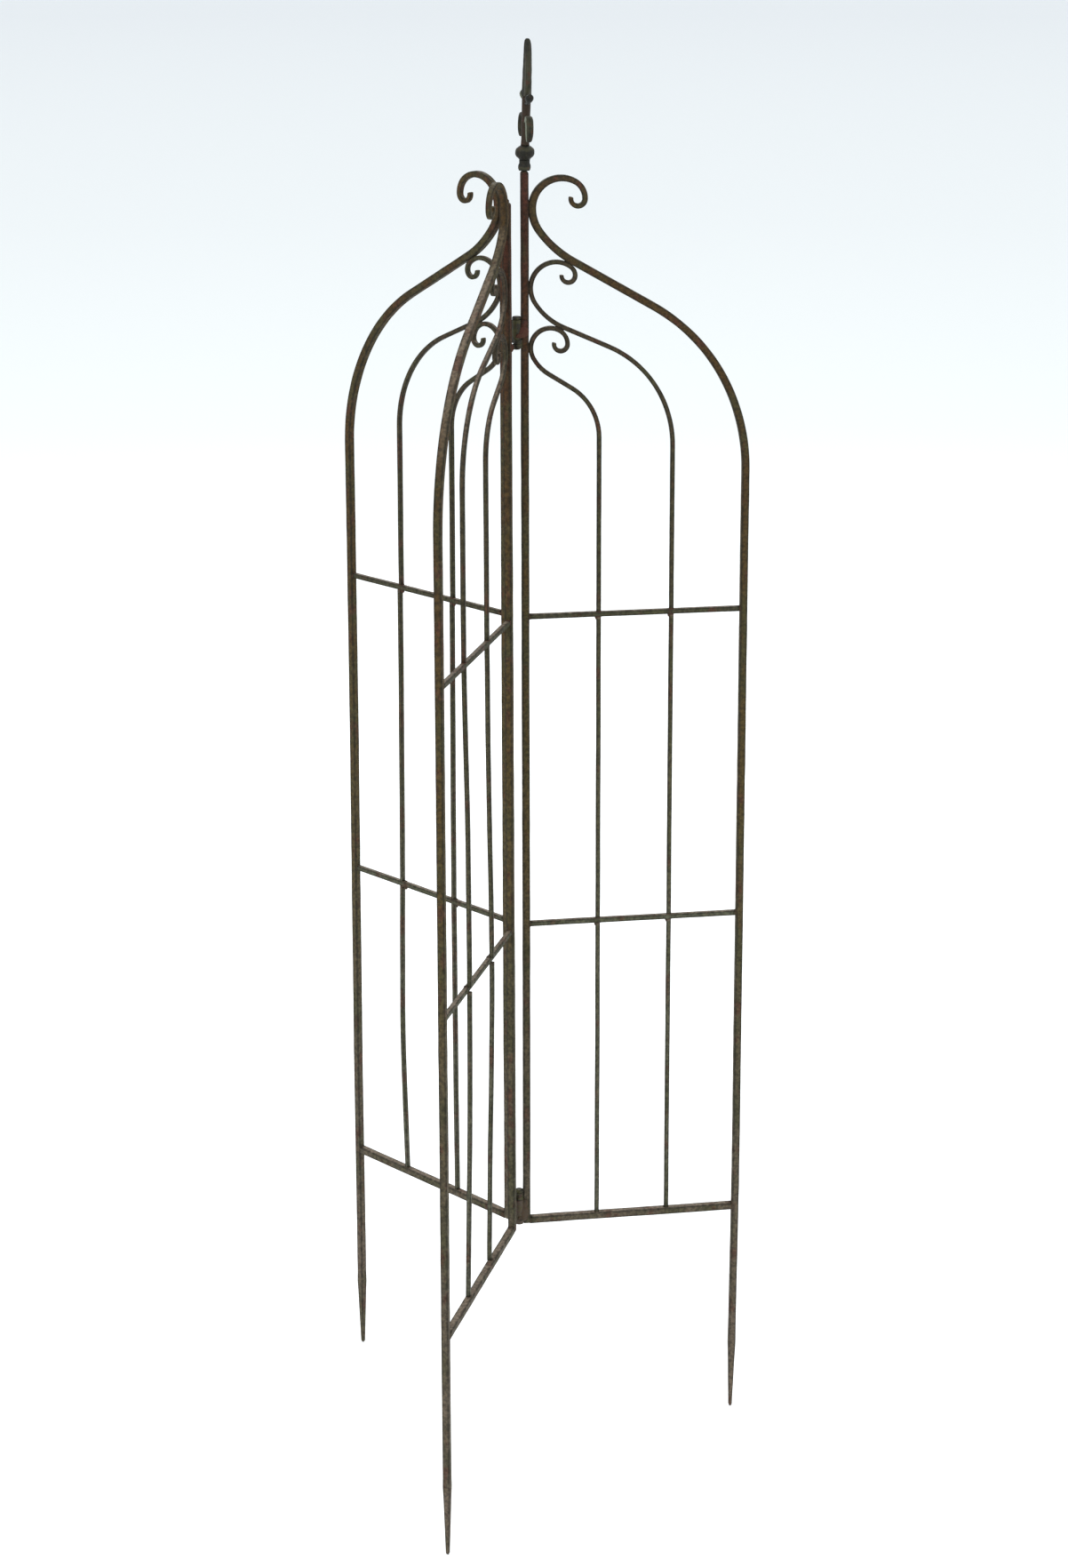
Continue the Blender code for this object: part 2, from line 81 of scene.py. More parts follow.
# Bends of the bars as (radius, degrees): below the touching point, and up to the scroll's end
ARCH_BENDS = {
    "returns": ((0.042, 36.0), (0.117, 24.5)),
    "shoulder": 0.212,
    "scroll": ((0.0318, 120.0), (0.021, 60.0), (0.0078, 196.0)),
    "tip": 0.0048,
}
MIDDLE_BENDS = {
    "returns": ((0.031, 33.0), (0.073, 33.0)),
    "shoulder": 0.123,
    "scroll": ((0.0275, 130.0), (0.0112, 50.0), (0.0075, 188.0)),
    "tip": 0.0042,
}
INNER_BENDS = {
    "returns": ((0.024, 29.0), (0.049, 29.0)),
    "shoulder": 0.066,
    "scroll": ((0.0212, 130.0), (0.017, 50.0), (0.0075, 196.0)),
    "tip": 0.0042,
}

# Gaps and ends of bars: how a spike narrows and swells above, and how far in an end is rounded
WELD_GAP = 0.0003
SPIKE_LENGTH = 0.087
SPIKE_TIP = 0.0036
SPIKE_POWER = 0.92
SPIKE_SHOULDER = (0.045, 0.012)
ROD_SCROLL_TAPER = 0.0118
END_FLAT = 0.30
POST_ENDS = (0.0014, 0.0030)
ARCH_ENDS = (0.0030, 0.0010)
ROD_ARCH_ENDS = (0.0, 0.0008)

# How uneven the bars, welds and castings are
ROD_WANDER = 1.6
WANDER_START = 0.02
WANDER_RATE = 9.0
SWELL = 0.035
SWELL_RATE = 45.0
WELD_ROUGH = 0.22
BEAD_ROUGH = 0.34
BEAD_SQUARENESS = 0.72
BEAD_SINK = 0.25
TURNED_ROUGH = 0.012
CAST_ROUGH = 0.05

# How far a rod was set off its true place by hand: (share of its height, out, across)
HAND_SET = {
    "middle_rod_lower_b": ((0.0, 0.0, 0.0), (0.45, 0.0050, 0.0), (0.75, 0.0050, 0.0),
                           (1.0, 0.0036, 0.0)),
    "middle_rod_upper_b": ((0.0, 0.0036, 0.0), (0.4, 0.0028, 0.0), (1.0, 0.0022, 0.0)),
    "inner_rod_lower_b": ((0.0, 0.0, 0.0), (1.0, 0.0022, 0.0)),
    "inner_rod_upper_b": ((0.0, 0.0022, 0.0), (1.0, 0.0012, 0.0)),
    "middle_rod_lower_c": ((0.0, 0.0, -0.0008), (0.2, 0.0, 0.0012), (0.5, 0.0, 0.0030),
                           (1.0, 0.0, 0.0036)),
    "middle_rod_upper_c": ((0.0, 0.0, 0.0036), (0.5, 0.0, 0.0028), (1.0, 0.0, 0.0002)),
    "inner_rod_lower_c": ((0.0, 0.0, -0.0020), (0.12, 0.0, -0.0004), (0.6, 0.0, 0.0022),
                          (1.0, 0.0, 0.0033)),
    "inner_rod_upper_c": ((0.0, 0.0, 0.0033), (0.5, 0.0, 0.0014), (1.0, 0.0, 0.0)),
}
STRAIGHT = ((0.0, 0.0, 0.0), (1.0, 0.0, 0.0))

# How far each wing's post and leg were pulled out of true: (height, out, across)
PULLED = {
    "post_a": ((0.50, 0.0, 0.0), (1.50, -0.0016, 0.0)),
    "leg_a": ((0.0, 0.0013, 0.0), (0.30, 0.0018, 0.0), (1.24, -0.0050, 0.0)),
    "post_b": ((0.27, 0.0, 0.0), (1.47, 0.0028, 0.0)),
    "leg_b": ((0.0, 0.0034, 0.0), (0.40, 0.0024, 0.0), (0.83, -0.0013, 0.0),
              (1.24, -0.0028, 0.0)),
    "post_c": ((0.27, 0.0, 0.0020), (1.47, 0.0, -0.0017)),
    "leg_c": ((0.0, 0.0, 0.0), (1.24, 0.0, 0.0)),
}


def linear(code):
    """Linear RGBA of an sRGB hex colour."""
    channels = [int(code[i:i + 2], 16) / 255 for i in (1, 3, 5)]
    lit = [c / 12.92 if c <= 0.04045 else ((c + 0.055) / 1.055) ** 2.4 for c in channels]
    return (*lit, 1.0)


# ---------------------------------------------------------------- settings


def colour(name, description, code):
    """A colour setting with its default given as an sRGB hex value."""
    return bpy.props.FloatVectorProperty(
        name=name, description=description, subtype="COLOR", size=4, min=0.0, max=1.0,
        default=linear(code))


def length(name, description, default):
    """A length setting in metres."""
    return bpy.props.FloatProperty(
        name=name, description=description, unit="LENGTH", default=default, min=0.0,
        precision=5)


class TrellisSizes(bpy.types.PropertyGroup):
    """Sizes of the visible detail."""

    over: length("Oversize", "How much a rolled bar is over its nominal size", 0.0003)
    bar_corner: length("Bar corner", "Rounding of the rolled bars' corners", 0.0011)
    rod_corner: length("Rod corner", "Rounding of the thin rods' corners", 0.0009)
    bar_wander: length("Bar wander", "How far a bar strays from its line", 0.00022)
    station: length("Station spacing", "Longest distance between sections of a bar", 0.006)
    bead: length("Weld bead", "Half thickness of a fillet weld's bead", 0.0011)
    heat_reach: length("Heat reach", "How far a weld's stain runs along the bar", 0.011)


class TrellisColours(bpy.types.PropertyGroup):
    """Colours of the rust at its heights on the trellis, of welds, hinges, finial and floor, and
    of painted light and shade.
    """

    foot: colour("Foot", "Lacquered rust on the spikes", "#544a3f")
    low: colour("Low", "Lacquered rust at the bottom rail", "#474134")
    middle: colour("Middle", "Lacquered rust at half height", "#403519")
    high: colour("High", "Lacquered rust at the shoulders", "#392a12")
    crown: colour("Crown", "Lacquered rust on the tops of the posts", "#371b10")
    scroll: colour("Scrolls", "Lacquered rust on the scrolls", "#2b2820")
    # Greenish mill scale in patches; near the top this colour is also painted on faces that look
    # up, as the sky's reflection.
    moss: colour("Olive patch", "Greenish mill scale that shows through", "#33341e")
    thin: colour("Thin bars", "Grey-green scale on the lower rails and rods", "#464a3d")
    thin_high: colour("High thin bars", "Grey-green scale on upper rails and rods", "#2f3125")
    # Pale brown painted on faces that look up, as the sky's light on them: a painted highlight.
    painted_top_light: colour("Upper faces", "Brown rust on faces that look up", "#6c6054")
    rust: colour("Rust patch", "Open rust", "#43241a")
    # Near black painted along the bars' corners as shade; the welds also take it in dark patches.
    scale: colour("Edge scale", "Dark mill scale left along the corners", "#15160e")
    heat: colour("Weld stain", "Brown rust round a weld", "#46301b")
    bead: colour("High weld", "Red rust on the upper weld metal", "#3f1f17")
    bead_low: colour("Low weld", "Lacquered brown on the lower weld metal", "#40372c")
    sleeve_low: colour("Low sleeve", "Lacquered brown of the lower sleeve", "#43382d")
    hinge: colour("Hinge iron", "Oiled black iron of pins and sleeves", "#1f1d14")
    hinge_worn: colour("Worn hinge", "Olive patches on pins and sleeves", "#413e20")
    casting: colour("Casting", "Lacquered cast iron of the finial", "#302f20")
    casting_rust: colour("Casting rust", "Rust on the finial's stem", "#26190e")
    # Pale grey painted as a highlight on one face of the leaves and of the left bud.
    casting_highlight: colour("Casting rim", "Lacquer rubbed thin on a leaf's rim", "#6f7566")
    # Black of the casting's dark patches, and painted shade in its grooves, hollows and edges and
    # on the right bud.
    casting_black_and_shade: colour("Casting shade", "Black left in the casting's hollows", "#0c0d08")
    floor: colour("Floor", "Pale floor", "#feffff")


def sizes():
    return bpy.context.scene.trellis_sizes


def colours():
    return bpy.context.scene.trellis_colours


# ---------------------------------------------------------------- materials


def add_node(tree, kind, inputs=None, stops=None, **settings):
    """Adds a node with its settings; an input that is a socket is linked, others are set."""
    made = tree.nodes.new(kind)
    for key, value in settings.items():
        setattr(made, key, value)
    for key, value in (inputs or {}).items():
        if isinstance(value, bpy.types.NodeSocket):
            tree.links.new(value, made.inputs[key])
        else:
            made.inputs[key].default_value = value
    if stops:
        ramp = made.color_ramp.elements
        while len(ramp) < len(stops):
            ramp.new(0.5)
        for element, (place, shade) in zip(ramp, stops):
            element.position = place
            element.color = shade
    return made


WHITE = (1.0, 1.0, 1.0, 1.0)
BLACK = (0.0, 0.0, 0.0, 1.0)

# Fine specks darken and lighten a rusted bar by these factors
SPECK_DARK = (0.62, 0.62, 0.62, 1.0)
SPECK_LIGHT = (1.42, 1.40, 1.34, 1.0)

# Height over which a bar's colour runs from first to last, and how far noise sways it
HEIGHT_SWAY = 0.22
HEIGHT_SPAN = 1.65


def per_metre(millimetres):
    """Noise scale whose features repeat about every so many millimetres."""
    return 1.0 / (millimetres * MM)


def start_material(name, roughness, metallic=0.0, specular=0.2):
    """A material with its shader, and the place on the piece that its patterns use."""
    material = bpy.data.materials.new(name)
    material.use_nodes = True
    tree = material.node_tree
    shader = tree.nodes["Principled BSDF"]
    shader.inputs["Roughness"].default_value = roughness
    shader.inputs["Metallic"].default_value = metallic
    shader.inputs["Specular IOR Level"].default_value = specular
    place = add_node(tree, "ShaderNodeTexCoord").outputs["Object"]
    return material, tree, shader, place


def blotch(tree, place, size_mm, low, high, detail=4.0, stretch=(1.0, 1.0, 1.0)):
    """A mask of soft-edged patches about size_mm across, from noise between two levels."""
    moved = add_node(tree, "ShaderNodeMapping", {"Vector": place, "Scale": stretch})
    cloud = add_node(tree, "ShaderNodeTexNoise", {
        "Vector": moved.outputs[0], "Scale": per_metre(size_mm), "Detail": detail,
        "Roughness": 0.6})
    ramp = add_node(tree, "ShaderNodeValToRGB", {"Fac": cloud.outputs["Fac"]},
                    stops=((low, BLACK), (high, WHITE)))
    return ramp.outputs["Color"]


def mixed(tree, factor, first, second, blend="MIX"):
    """Two colours mixed by a factor."""
    mix = add_node(tree, "ShaderNodeMix", {0: factor, 6: first, 7: second},
                   data_type="RGBA", blend_type=blend)
    return mix.outputs[2]


def share_of(tree, mask, amount):
    """A mask scaled down to at most the amount."""
    scaled = add_node(tree, "ShaderNodeMath", {0: mask, 1: amount}, operation="MULTIPLY")
    return scaled.outputs[0]


def grain_of(tree, place, size_mm, detail, rough=0.5):
    """Plain noise whose grains are about size_mm across."""
    return add_node(tree, "ShaderNodeTexNoise", {
        "Vector": place, "Scale": per_metre(size_mm), "Detail": detail,
        "Roughness": rough}).outputs["Fac"]


def surface(tree, shader, base, grain, strength, depth_mm):
    """Gives the shader its colour and its fine relief."""
    tree.links.new(base, shader.inputs["Base Color"])
    bump = add_node(tree, "ShaderNodeBump", {
        "Height": grain, "Strength": strength, "Distance": depth_mm * MM})
    tree.links.new(bump.outputs["Normal"], shader.inputs["Normal"])


def gloss_from(tree, shader, grain, low, high, span=(0.0, 1.0)):
    """Roughness that follows a grain between two values."""
    gloss = add_node(tree, "ShaderNodeMapRange", {
        "Value": grain, "From Min": span[0], "From Max": span[1],
        "To Min": low, "To Max": high}).outputs[0]
    tree.links.new(gloss, shader.inputs["Roughness"])


def by_height(tree, place, stops):
    """A colour that changes with the height on the trellis, swayed a little by noise."""
    height = add_node(tree, "ShaderNodeSeparateXYZ", {0: place}).outputs["Z"]
    drift = grain_of(tree, place, 90.0, 2.0)
    swayed = add_node(tree, "ShaderNodeMath", {0: drift, 1: HEIGHT_SWAY, 2: height},
                      operation="MULTIPLY_ADD").outputs[0]
    level = add_node(tree, "ShaderNodeMapRange", {
        "Value": swayed, "From Min": HEIGHT_SWAY / 2,
        "From Max": HEIGHT_SPAN + HEIGHT_SWAY / 2}).outputs[0]
    return add_node(tree, "ShaderNodeValToRGB", {"Fac": level}, stops=stops).outputs["Color"]


def worn_by(tree, label, ragged, low, high):
    """A ragged mask from one of the piece's own attributes."""
    raw = add_node(tree, "ShaderNodeAttribute", attribute_name=label).outputs["Fac"]
    torn = add_node(tree, "ShaderNodeMath", {0: raw, 1: ragged}, operation="MULTIPLY")
    return add_node(tree, "ShaderNodeValToRGB", {"Fac": torn.outputs[0]},
                    stops=((low, BLACK), (high, WHITE))).outputs["Color"]


def rolled_steel(name, pit_mm, thin_share, roughness=0.70, arched=False):
    """Hot-rolled mild steel bar, left to rust and then lacquered: brown and nearly matt.

    The eye gets a dull brown that turns redder towards the top of the posts and darker on the
    scrolls, greenish scale in patches, a painted highlight of the sky on faces that look up,
    painted shade along the corners, stained welds and fine pitting.
    """
    shades = colours()
    material, tree, shader, place = start_material(name, roughness)
    top = shades.high if arched else shades.crown
    tip = shades.scroll if arched else shades.crown
    base = by_height(tree, place, (
        (0.05, shades.foot), (0.22, shades.low), (0.48, shades.middle), (0.72, shades.high),
        (0.90, top), (0.97, tip)))
    if thin_share:
        thin = by_height(tree, place, ((0.35, shades.thin), (0.66, shades.thin_high)))
        base = mixed(tree, thin_share, base, thin)
    moss = blotch(tree, place, 38.0, 0.47, 0.58, stretch=(1.0, 1.0, 0.45))
    base = mixed(tree, share_of(tree, moss, 0.6), base, shades.moss)
    # Painted highlight: faces that look up turn towards a pale brown, and near the top towards
    # the olive colour, as lit and reflecting the sky.
    normal = add_node(tree, "ShaderNodeNewGeometry").outputs["Normal"]
    facing = add_node(tree, "ShaderNodeSeparateXYZ", {0: normal}).outputs["Z"]
    upper = add_node(tree, "ShaderNodeMapRange", {
        "Value": facing, "From Min": 0.25, "From Max": 0.8, "To Max": 0.7}).outputs[0]
    lit = by_height(tree, place, ((0.30, shades.painted_top_light), (0.84, shades.painted_top_light),
                                  (0.93, shades.moss)))
    base = mixed(tree, upper, base, lit)
    open_rust = blotch(tree, place, 17.0, 0.55, 0.64, stretch=(1.0, 1.0, 0.6))
    base = mixed(tree, share_of(tree, open_rust, 0.6), base, shades.rust)
    speck = blotch(tree, place, 3.4, 0.38, 0.64, detail=3.0)
    base = mixed(tree, 1.0, base, mixed(tree, speck, SPECK_DARK, SPECK_LIGHT), "MULTIPLY")
    ragged = grain_of(tree, place, 6.0, 3.0)
    # Painted shade: the edge attribute darkens the bar's rounded corners.
    corner = worn_by(tree, "edge", ragged, 0.18, 0.44)
    base = mixed(tree, share_of(tree, corner, 0.7), base, shades.scale)
    burnt = worn_by(tree, "heat", ragged, 0.10, 0.42)
    base = mixed(tree, share_of(tree, burnt, 0.7), base, shades.heat)
    gloss_from(tree, shader, ragged, roughness - 0.14, roughness + 0.16, (0.3, 0.7))
    surface(tree, shader, base, grain_of(tree, place, pit_mm, 4.0, 0.65), 0.55, 0.4)
    return material


def weld_metal(name):
    """Arc weld bead on mild steel, rusted under lacquer: rough, red above and brown below."""
    shades = colours()
    material, tree, shader, place = start_material(name, 0.72)
    bead = by_height(tree, place, ((0.35, shades.bead_low), (0.72, shades.bead)))
    patch = blotch(tree, place, 3.0, 0.40, 0.64)
    base = mixed(tree, share_of(tree, patch, 0.5), bead, shades.heat)
    dark = blotch(tree, place, 6.5, 0.52, 0.66)
    base = mixed(tree, share_of(tree, dark, 0.7), base, shades.scale)
    surface(tree, shader, base, grain_of(tree, place, 1.3, 3.0), 0.7, 0.4)
    return material


def hinge_iron(name, low_shade):
    """Turned and cut mild steel, oiled black and worn by rubbing: dark with olive and red
    patches.

    The lower sleeve was lacquered with the bars, so it may take a shade of its own.
    """
    shades = colours()
    material, tree, shader, place = start_material(name, 0.5, 0.15, 0.3)
    iron = by_height(tree, place, ((0.35, low_shade), (0.5, shades.hinge)))
    olive = blotch(tree, place, 9.0, 0.50, 0.62)
    base = mixed(tree, share_of(tree, olive, 0.75), iron, shades.hinge_worn)
    red = blotch(tree, place, 5.0, 0.56, 0.68)
    base = mixed(tree, share_of(tree, red, 0.6), base, shades.rust)
    grain = grain_of(tree, place, 1.1, 4.0)
    gloss_from(tree, shader, grain, 0.36, 0.66)
    surface(tree, shader, base, grain, 0.4, 0.25)
    return material


def sand_cast_iron(name):
    """Grey iron cast in sand and lacquered: olive grey, sandy, painted shade in hollows and
    edges, painted rim highlights.
    """
    shades = colours()
    material, tree, shader, place = start_material(name, 0.6)
    cloud = blotch(tree, place, 8.0, 0.44, 0.64)
    base = mixed(tree, share_of(tree, cloud, 0.6), shades.casting, shades.casting_black_and_shade)
    ragged = grain_of(tree, place, 4.0, 3.0)
    rusty = worn_by(tree, "rust", ragged, 0.12, 0.40)
    base = mixed(tree, share_of(tree, rusty, 0.85), base, shades.casting_rust)
    red = blotch(tree, place, 6.0, 0.56, 0.64)
    base = mixed(tree, share_of(tree, red, 0.6), base, shades.rust)
    # Painted shade from the edge attribute: the grooves, sides and right bud, and round castings
    # outside a lighter band; the blade is darker along its midrib and towards its tip.
    shade_and_black = worn_by(tree, "edge", ragged, 0.16, 0.44)
    base = mixed(tree, share_of(tree, shade_and_black, 0.85), base, shades.casting_black_and_shade)
    # Painted highlight from the rim attribute, on one face of the leaves and the left bud.
    painted_glint = worn_by(tree, "rim", ragged, 0.20, 0.42)
    base = mixed(tree, share_of(tree, painted_glint, 0.8), base, shades.casting_highlight)
    sand = grain_of(tree, place, 1.5, 5.0, 0.7)
    gloss_from(tree, shader, sand, 0.38, 0.70)
    surface(tree, shader, base, sand, 0.6, 0.5)
    return material


def pale_floor(name):
    """Painted studio floor, rolled matt white, with painted shade that fades it to a pale blue
    grey far away.
    """
    material, tree, shader, place = start_material(name, 0.85)
    # Painted shade: the floor darkens to a pale blue grey with distance, as the light falls off
    # far away.
    away = add_node(tree, "ShaderNodeVectorMath", {0: place}, operation="LENGTH")
    far = add_node(tree, "ShaderNodeMapRange", {
        "Value": away.outputs["Value"], "From Min": 2.8, "From Max": 26.0}).outputs[0]
    shade = add_node(tree, "ShaderNodeValToRGB", {"Fac": far}, stops=(
        (0.0, colours().floor), (0.18, linear("#f6fbfb")), (0.33, linear("#f1f6f7")),
        (1.0, linear("#e8edf0"))))
    tree.links.new(shade.outputs["Color"], shader.inputs["Base Color"])
    return material


MATERIAL_MAKERS = {
    "rolled_steel_frame_bar": lambda name: rolled_steel(name, 2.0, 0.0),
    "bent_steel_arch_bar": lambda name: rolled_steel(name, 2.0, 0.0, arched=True),
    "rolled_steel_rail_bar": lambda name: rolled_steel(name, 1.8, 0.75),
    "rolled_steel_rod": lambda name: rolled_steel(name, 1.5, 0.55, 0.66),
    "arc_weld_metal": weld_metal,
    "oiled_pin_iron": lambda name: hinge_iron(name, colours().hinge),
    "lacquered_sleeve_iron": lambda name: hinge_iron(name, colours().sleeve_low),
    "sand_cast_iron": sand_cast_iron,
    "matt_white_floor": pale_floor,
}


def material_of(name):
    """The named material, made the first time it is asked for."""
    return bpy.data.materials.get(name) or MATERIAL_MAKERS[name](name)


# ---------------------------------------------------------------- the frame's own places


def centre(node):
    """Middle of a frame node's box."""
    low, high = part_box(node)
    return (low + high) / 2


def extent(node):
    """Size of a frame node's box."""
    low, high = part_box(node)
    return high - low


FRAME_BAR = extent("post_a").x
RAIL_BAR = extent("middle_rail_a").z
ROD_BAR = extent("middle_rod_lower_a").x
BOTTOM_RAIL_Z = centre("bottom_rail_a").z
MIDDLE_RAIL_Z = centre("middle_rail_a").z
UPPER_RAIL_Z = centre("upper_rail_a").z
JOINT = frame["joints"][0]["pos_m"]
AXIS = Vector((JOINT[0], JOINT[1], 0.0))
FINIAL_FOOT_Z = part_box("finial_collar")[0].z
FINIAL_OFF = -0.0016
FINIAL_LEAN = 0.031


def lean_at(height):
    """How far the finial stands to the side of the post's true line at a height."""
    return FINIAL_OFF + FINIAL_LEAN * (height - FINIAL_FOOT_Z)


class Wing:
    """One wing's upright plane: s runs out from the post, h up and d across."""

    def __init__(self, name):
        self.name = name
        post = centre(f"post_{name}")
        inner = centre(f"inner_rod_lower_{name}")
        middle = centre(f"middle_rod_lower_{name}")
        step = Vector((middle.x - inner.x, middle.y - inner.y, 0.0))
        self.foot = Vector((post.x, post.y, 0.0))
        self.along = step.normalized()
        self.across = Vector((-self.along.y, self.along.x, 0.0))
        self.inner = (inner - post).dot(self.along)
        self.middle = (middle - post).dot(self.along)
        self.leg = self.inner + 2 * (self.middle - self.inner)
        self.body = f"wing_{name}"

    def pulled(self, part, h):
        """How far out and across the post or leg stands from its true place at a height."""
        table = PULLED[f"{part}_{self.name}"]
        for low, high in zip(table, table[1:]):
            if h <= high[0]:
                break
        share = min(max((h - low[0]) / (high[0] - low[0]), 0.0), 1.0)
        return [a + (b - a) * share for a, b in zip(low[1:], high[1:])]

    def place(self, s, h, d=0.0):
        """The point at a place in the wing, pulled out of true with its post and leg."""
        share = min(max(s / self.leg, 0.0), 1.0)
        out, across = (a + (b - a) * share
                       for a, b in zip(self.pulled("post", h), self.pulled("leg", h)))
        return (self.foot + self.along * (s + out) + self.across * (d + across)
                + Vector((0.0, 0.0, h)))


# ---------------------------------------------------------------- lines and sweeps


def bent(start, heading, bends, turn_step=math.radians(6.0)):
    """Points and end heading of a bar bent in (radius, turn) steps; left is positive."""
    x, y = start
    points = [(x, y)]
    for radius, turn in bends:
        angle = math.radians(turn)
        side = math.copysign(1.0, angle)
        middle = (x - side * radius * math.sin(heading), y + side * radius * math.cos(heading))
        count = max(3, math.ceil(abs(angle) / turn_step),
                    math.ceil(abs(angle) * radius / sizes().station))
        for step in range(1, count + 1):
            now = heading + angle * step / count
            x = middle[0] + side * radius * math.sin(now)
            y = middle[1] - side * radius * math.cos(now)
            points.append((x, y))
        heading += angle
    return points, heading


def arch_line(seat, bends, leg):
    """Centre line from the leg's top over the shoulder, past the post and round the scroll."""
    turn_back = -sum(turn for _, turn in bends["returns"])
    lower, slope = bent((seat, 0.0), -math.pi / 2, bends["returns"])
    over, _ = bent(lower[-1], slope, ((bends["shoulder"], turn_back),))
    run = (leg - over[-1][0]) / math.cos(slope)
    knee = (lower[-1][0] + run * math.cos(slope), lower[-1][1] + run * math.sin(slope))
    outer, _ = bent(knee, slope, ((bends["shoulder"], turn_back),))
    upper, _ = bent((seat, 0.0), math.pi / 2, tuple((r, -t) for r, t in bends["scroll"]))
    return outer[::-1] + lower[::-1] + upper[1:], len(outer) + len(lower) - 1


def split_long(line, longest):
    """The line with points added so that no step is longer than the longest."""
    points = [line[0]]
    for start, end in zip(line, line[1:]):
        count = max(1, math.ceil(math.dist(start, end) / longest))
        for step in range(1, count + 1):
            share = step / count
            points.append(tuple(a + (b - a) * share for a, b in zip(start, end)))
    return points


def run_lengths(line):
    """Distance of each point of a line from its start."""
    total, out = 0.0, [0.0]
    for start, end in zip(line, line[1:]):
        total += math.dist(start, end)
        out.append(total)
    return out


def point_at(line, runs, place):
    """The point of a line at a distance along it."""
    for index in range(1, len(runs)):
        if runs[index] >= place:
            break
    step = max(runs[index] - runs[index - 1], 1e-9)
    share = min(max((place - runs[index - 1]) / step, 0.0), 1.0)
    return tuple(a + (b - a) * share for a, b in zip(line[index - 1], line[index]))


def with_round_ends(line, start_round, end_round):
    """The line with close points near its free ends, and a scale for each point."""
    runs = run_lengths(line)
    total = runs[-1]
    places = set(runs)
    for share in (0.0, 0.06, 0.2, 0.45, 0.75, 1.0):
        if start_round:
            places.add(start_round * share)
        if end_round:
            places.add(total - end_round * share)
    kept = []
    for place in sorted(places):
        if not kept or place - kept[-1] > 1e-5:
            kept.append(place)
    points, scales = [], []
    for place in kept:
        scale = 1.0
        for inset, rounding in ((place, start_round), (total - place, end_round)):
            if rounding and inset < rounding:
                bulge = math.sqrt(max(0.0, 1.0 - (1.0 - inset / rounding) ** 2))
                scale *= END_FLAT + (1.0 - END_FLAT) * bulge
        points.append(point_at(line, runs, place))
        scales.append(scale)
    return points, scales


def ring_of(width, depth, corner):
    """Section of a rolled bar: (out, across, edge) points, three round each corner."""
    ring = []
    flats = ((0.0, depth / 2), (-width / 2, 0.0), (0.0, -depth / 2), (width / 2, 0.0))
    corners = ((1, 1, 0), (-1, 1, 90), (-1, -1, 180), (1, -1, 270))
    for (side, face, start), flat in zip(corners, flats):
        x, y = side * (width / 2 - corner), face * (depth / 2 - corner)
        # Each point's edge value sets how much painted shade its corner takes.
        for turn, edge in ((0, 0.7), (45, 1.0), (90, 0.7)):
            angle = math.radians(start + turn)
            ring.append((x + corner * math.cos(angle), y + corner * math.sin(angle), edge))
        ring.append((*flat, 0.0))
    return ring


def finish_piece(name, mesh_data, attributes, material, body, slot, replaced=()):
    """Makes the piece from vertices and faces, with its attributes, material and ride."""
    vertices, faces = mesh_data
    mesh = bpy.data.meshes.new(name)
    mesh.from_pydata(vertices, [], faces)
    for label, values in attributes.items():
        layer = mesh.attributes.new(label, "FLOAT", "POINT")
        layer.data.foreach_set("value", values)
    tidy = bmesh.new()
    tidy.from_mesh(mesh)
    bmesh.ops.recalc_face_normals(tidy, faces=tidy.faces)
    tidy.to_mesh(mesh)
    tidy.free()
    mesh.shade_smooth()
    mesh.materials.append(material_of(material))
    piece = bpy.data.objects.new(name, mesh)
    bpy.context.scene.collection.objects.link(piece)
    weighted = piece.modifiers.new("Flat faces", "WEIGHTED_NORMAL")
    weighted.weight = 60
    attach(piece, body)
    if replaced:
        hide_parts(*replaced)
    return piece


def tube_faces(rings, around, closed=False):
    """Quads between rings of points, with both ends filled unless the run is closed."""
    faces = []
    last = rings if closed else rings - 1
    for ring in range(last):
        here, there = ring * around, (ring + 1) % rings * around
        for side in range(around):
            after = (side + 1) % around
            faces.append((here + side, here + after, there + after, there + side))
    if not closed:
        faces.append(tuple(range(around)))
        top = (rings - 1) * around
        faces.append(tuple(range(top, top + around)))
    return faces


def heat_at(s, h, welds):
    """How strongly the welds nearby have stained the bar, from 0 to 1."""
    reach = sizes().heat_reach
    strongest = 0.0
    for weld_s, weld_h in welds:
        gap = math.hypot(s - weld_s, h - weld_h) / reach
        strongest = max(strongest, math.exp(-gap * gap))
    return strongest


def across_at(bow, share):
    """How far a bar stands across its line at a share of its run, from evenly spaced values."""
    place = share * (len(bow) - 1)
    step = min(int(place), len(bow) - 2)
    return bow[step] + (bow[step + 1] - bow[step]) * (place - step)


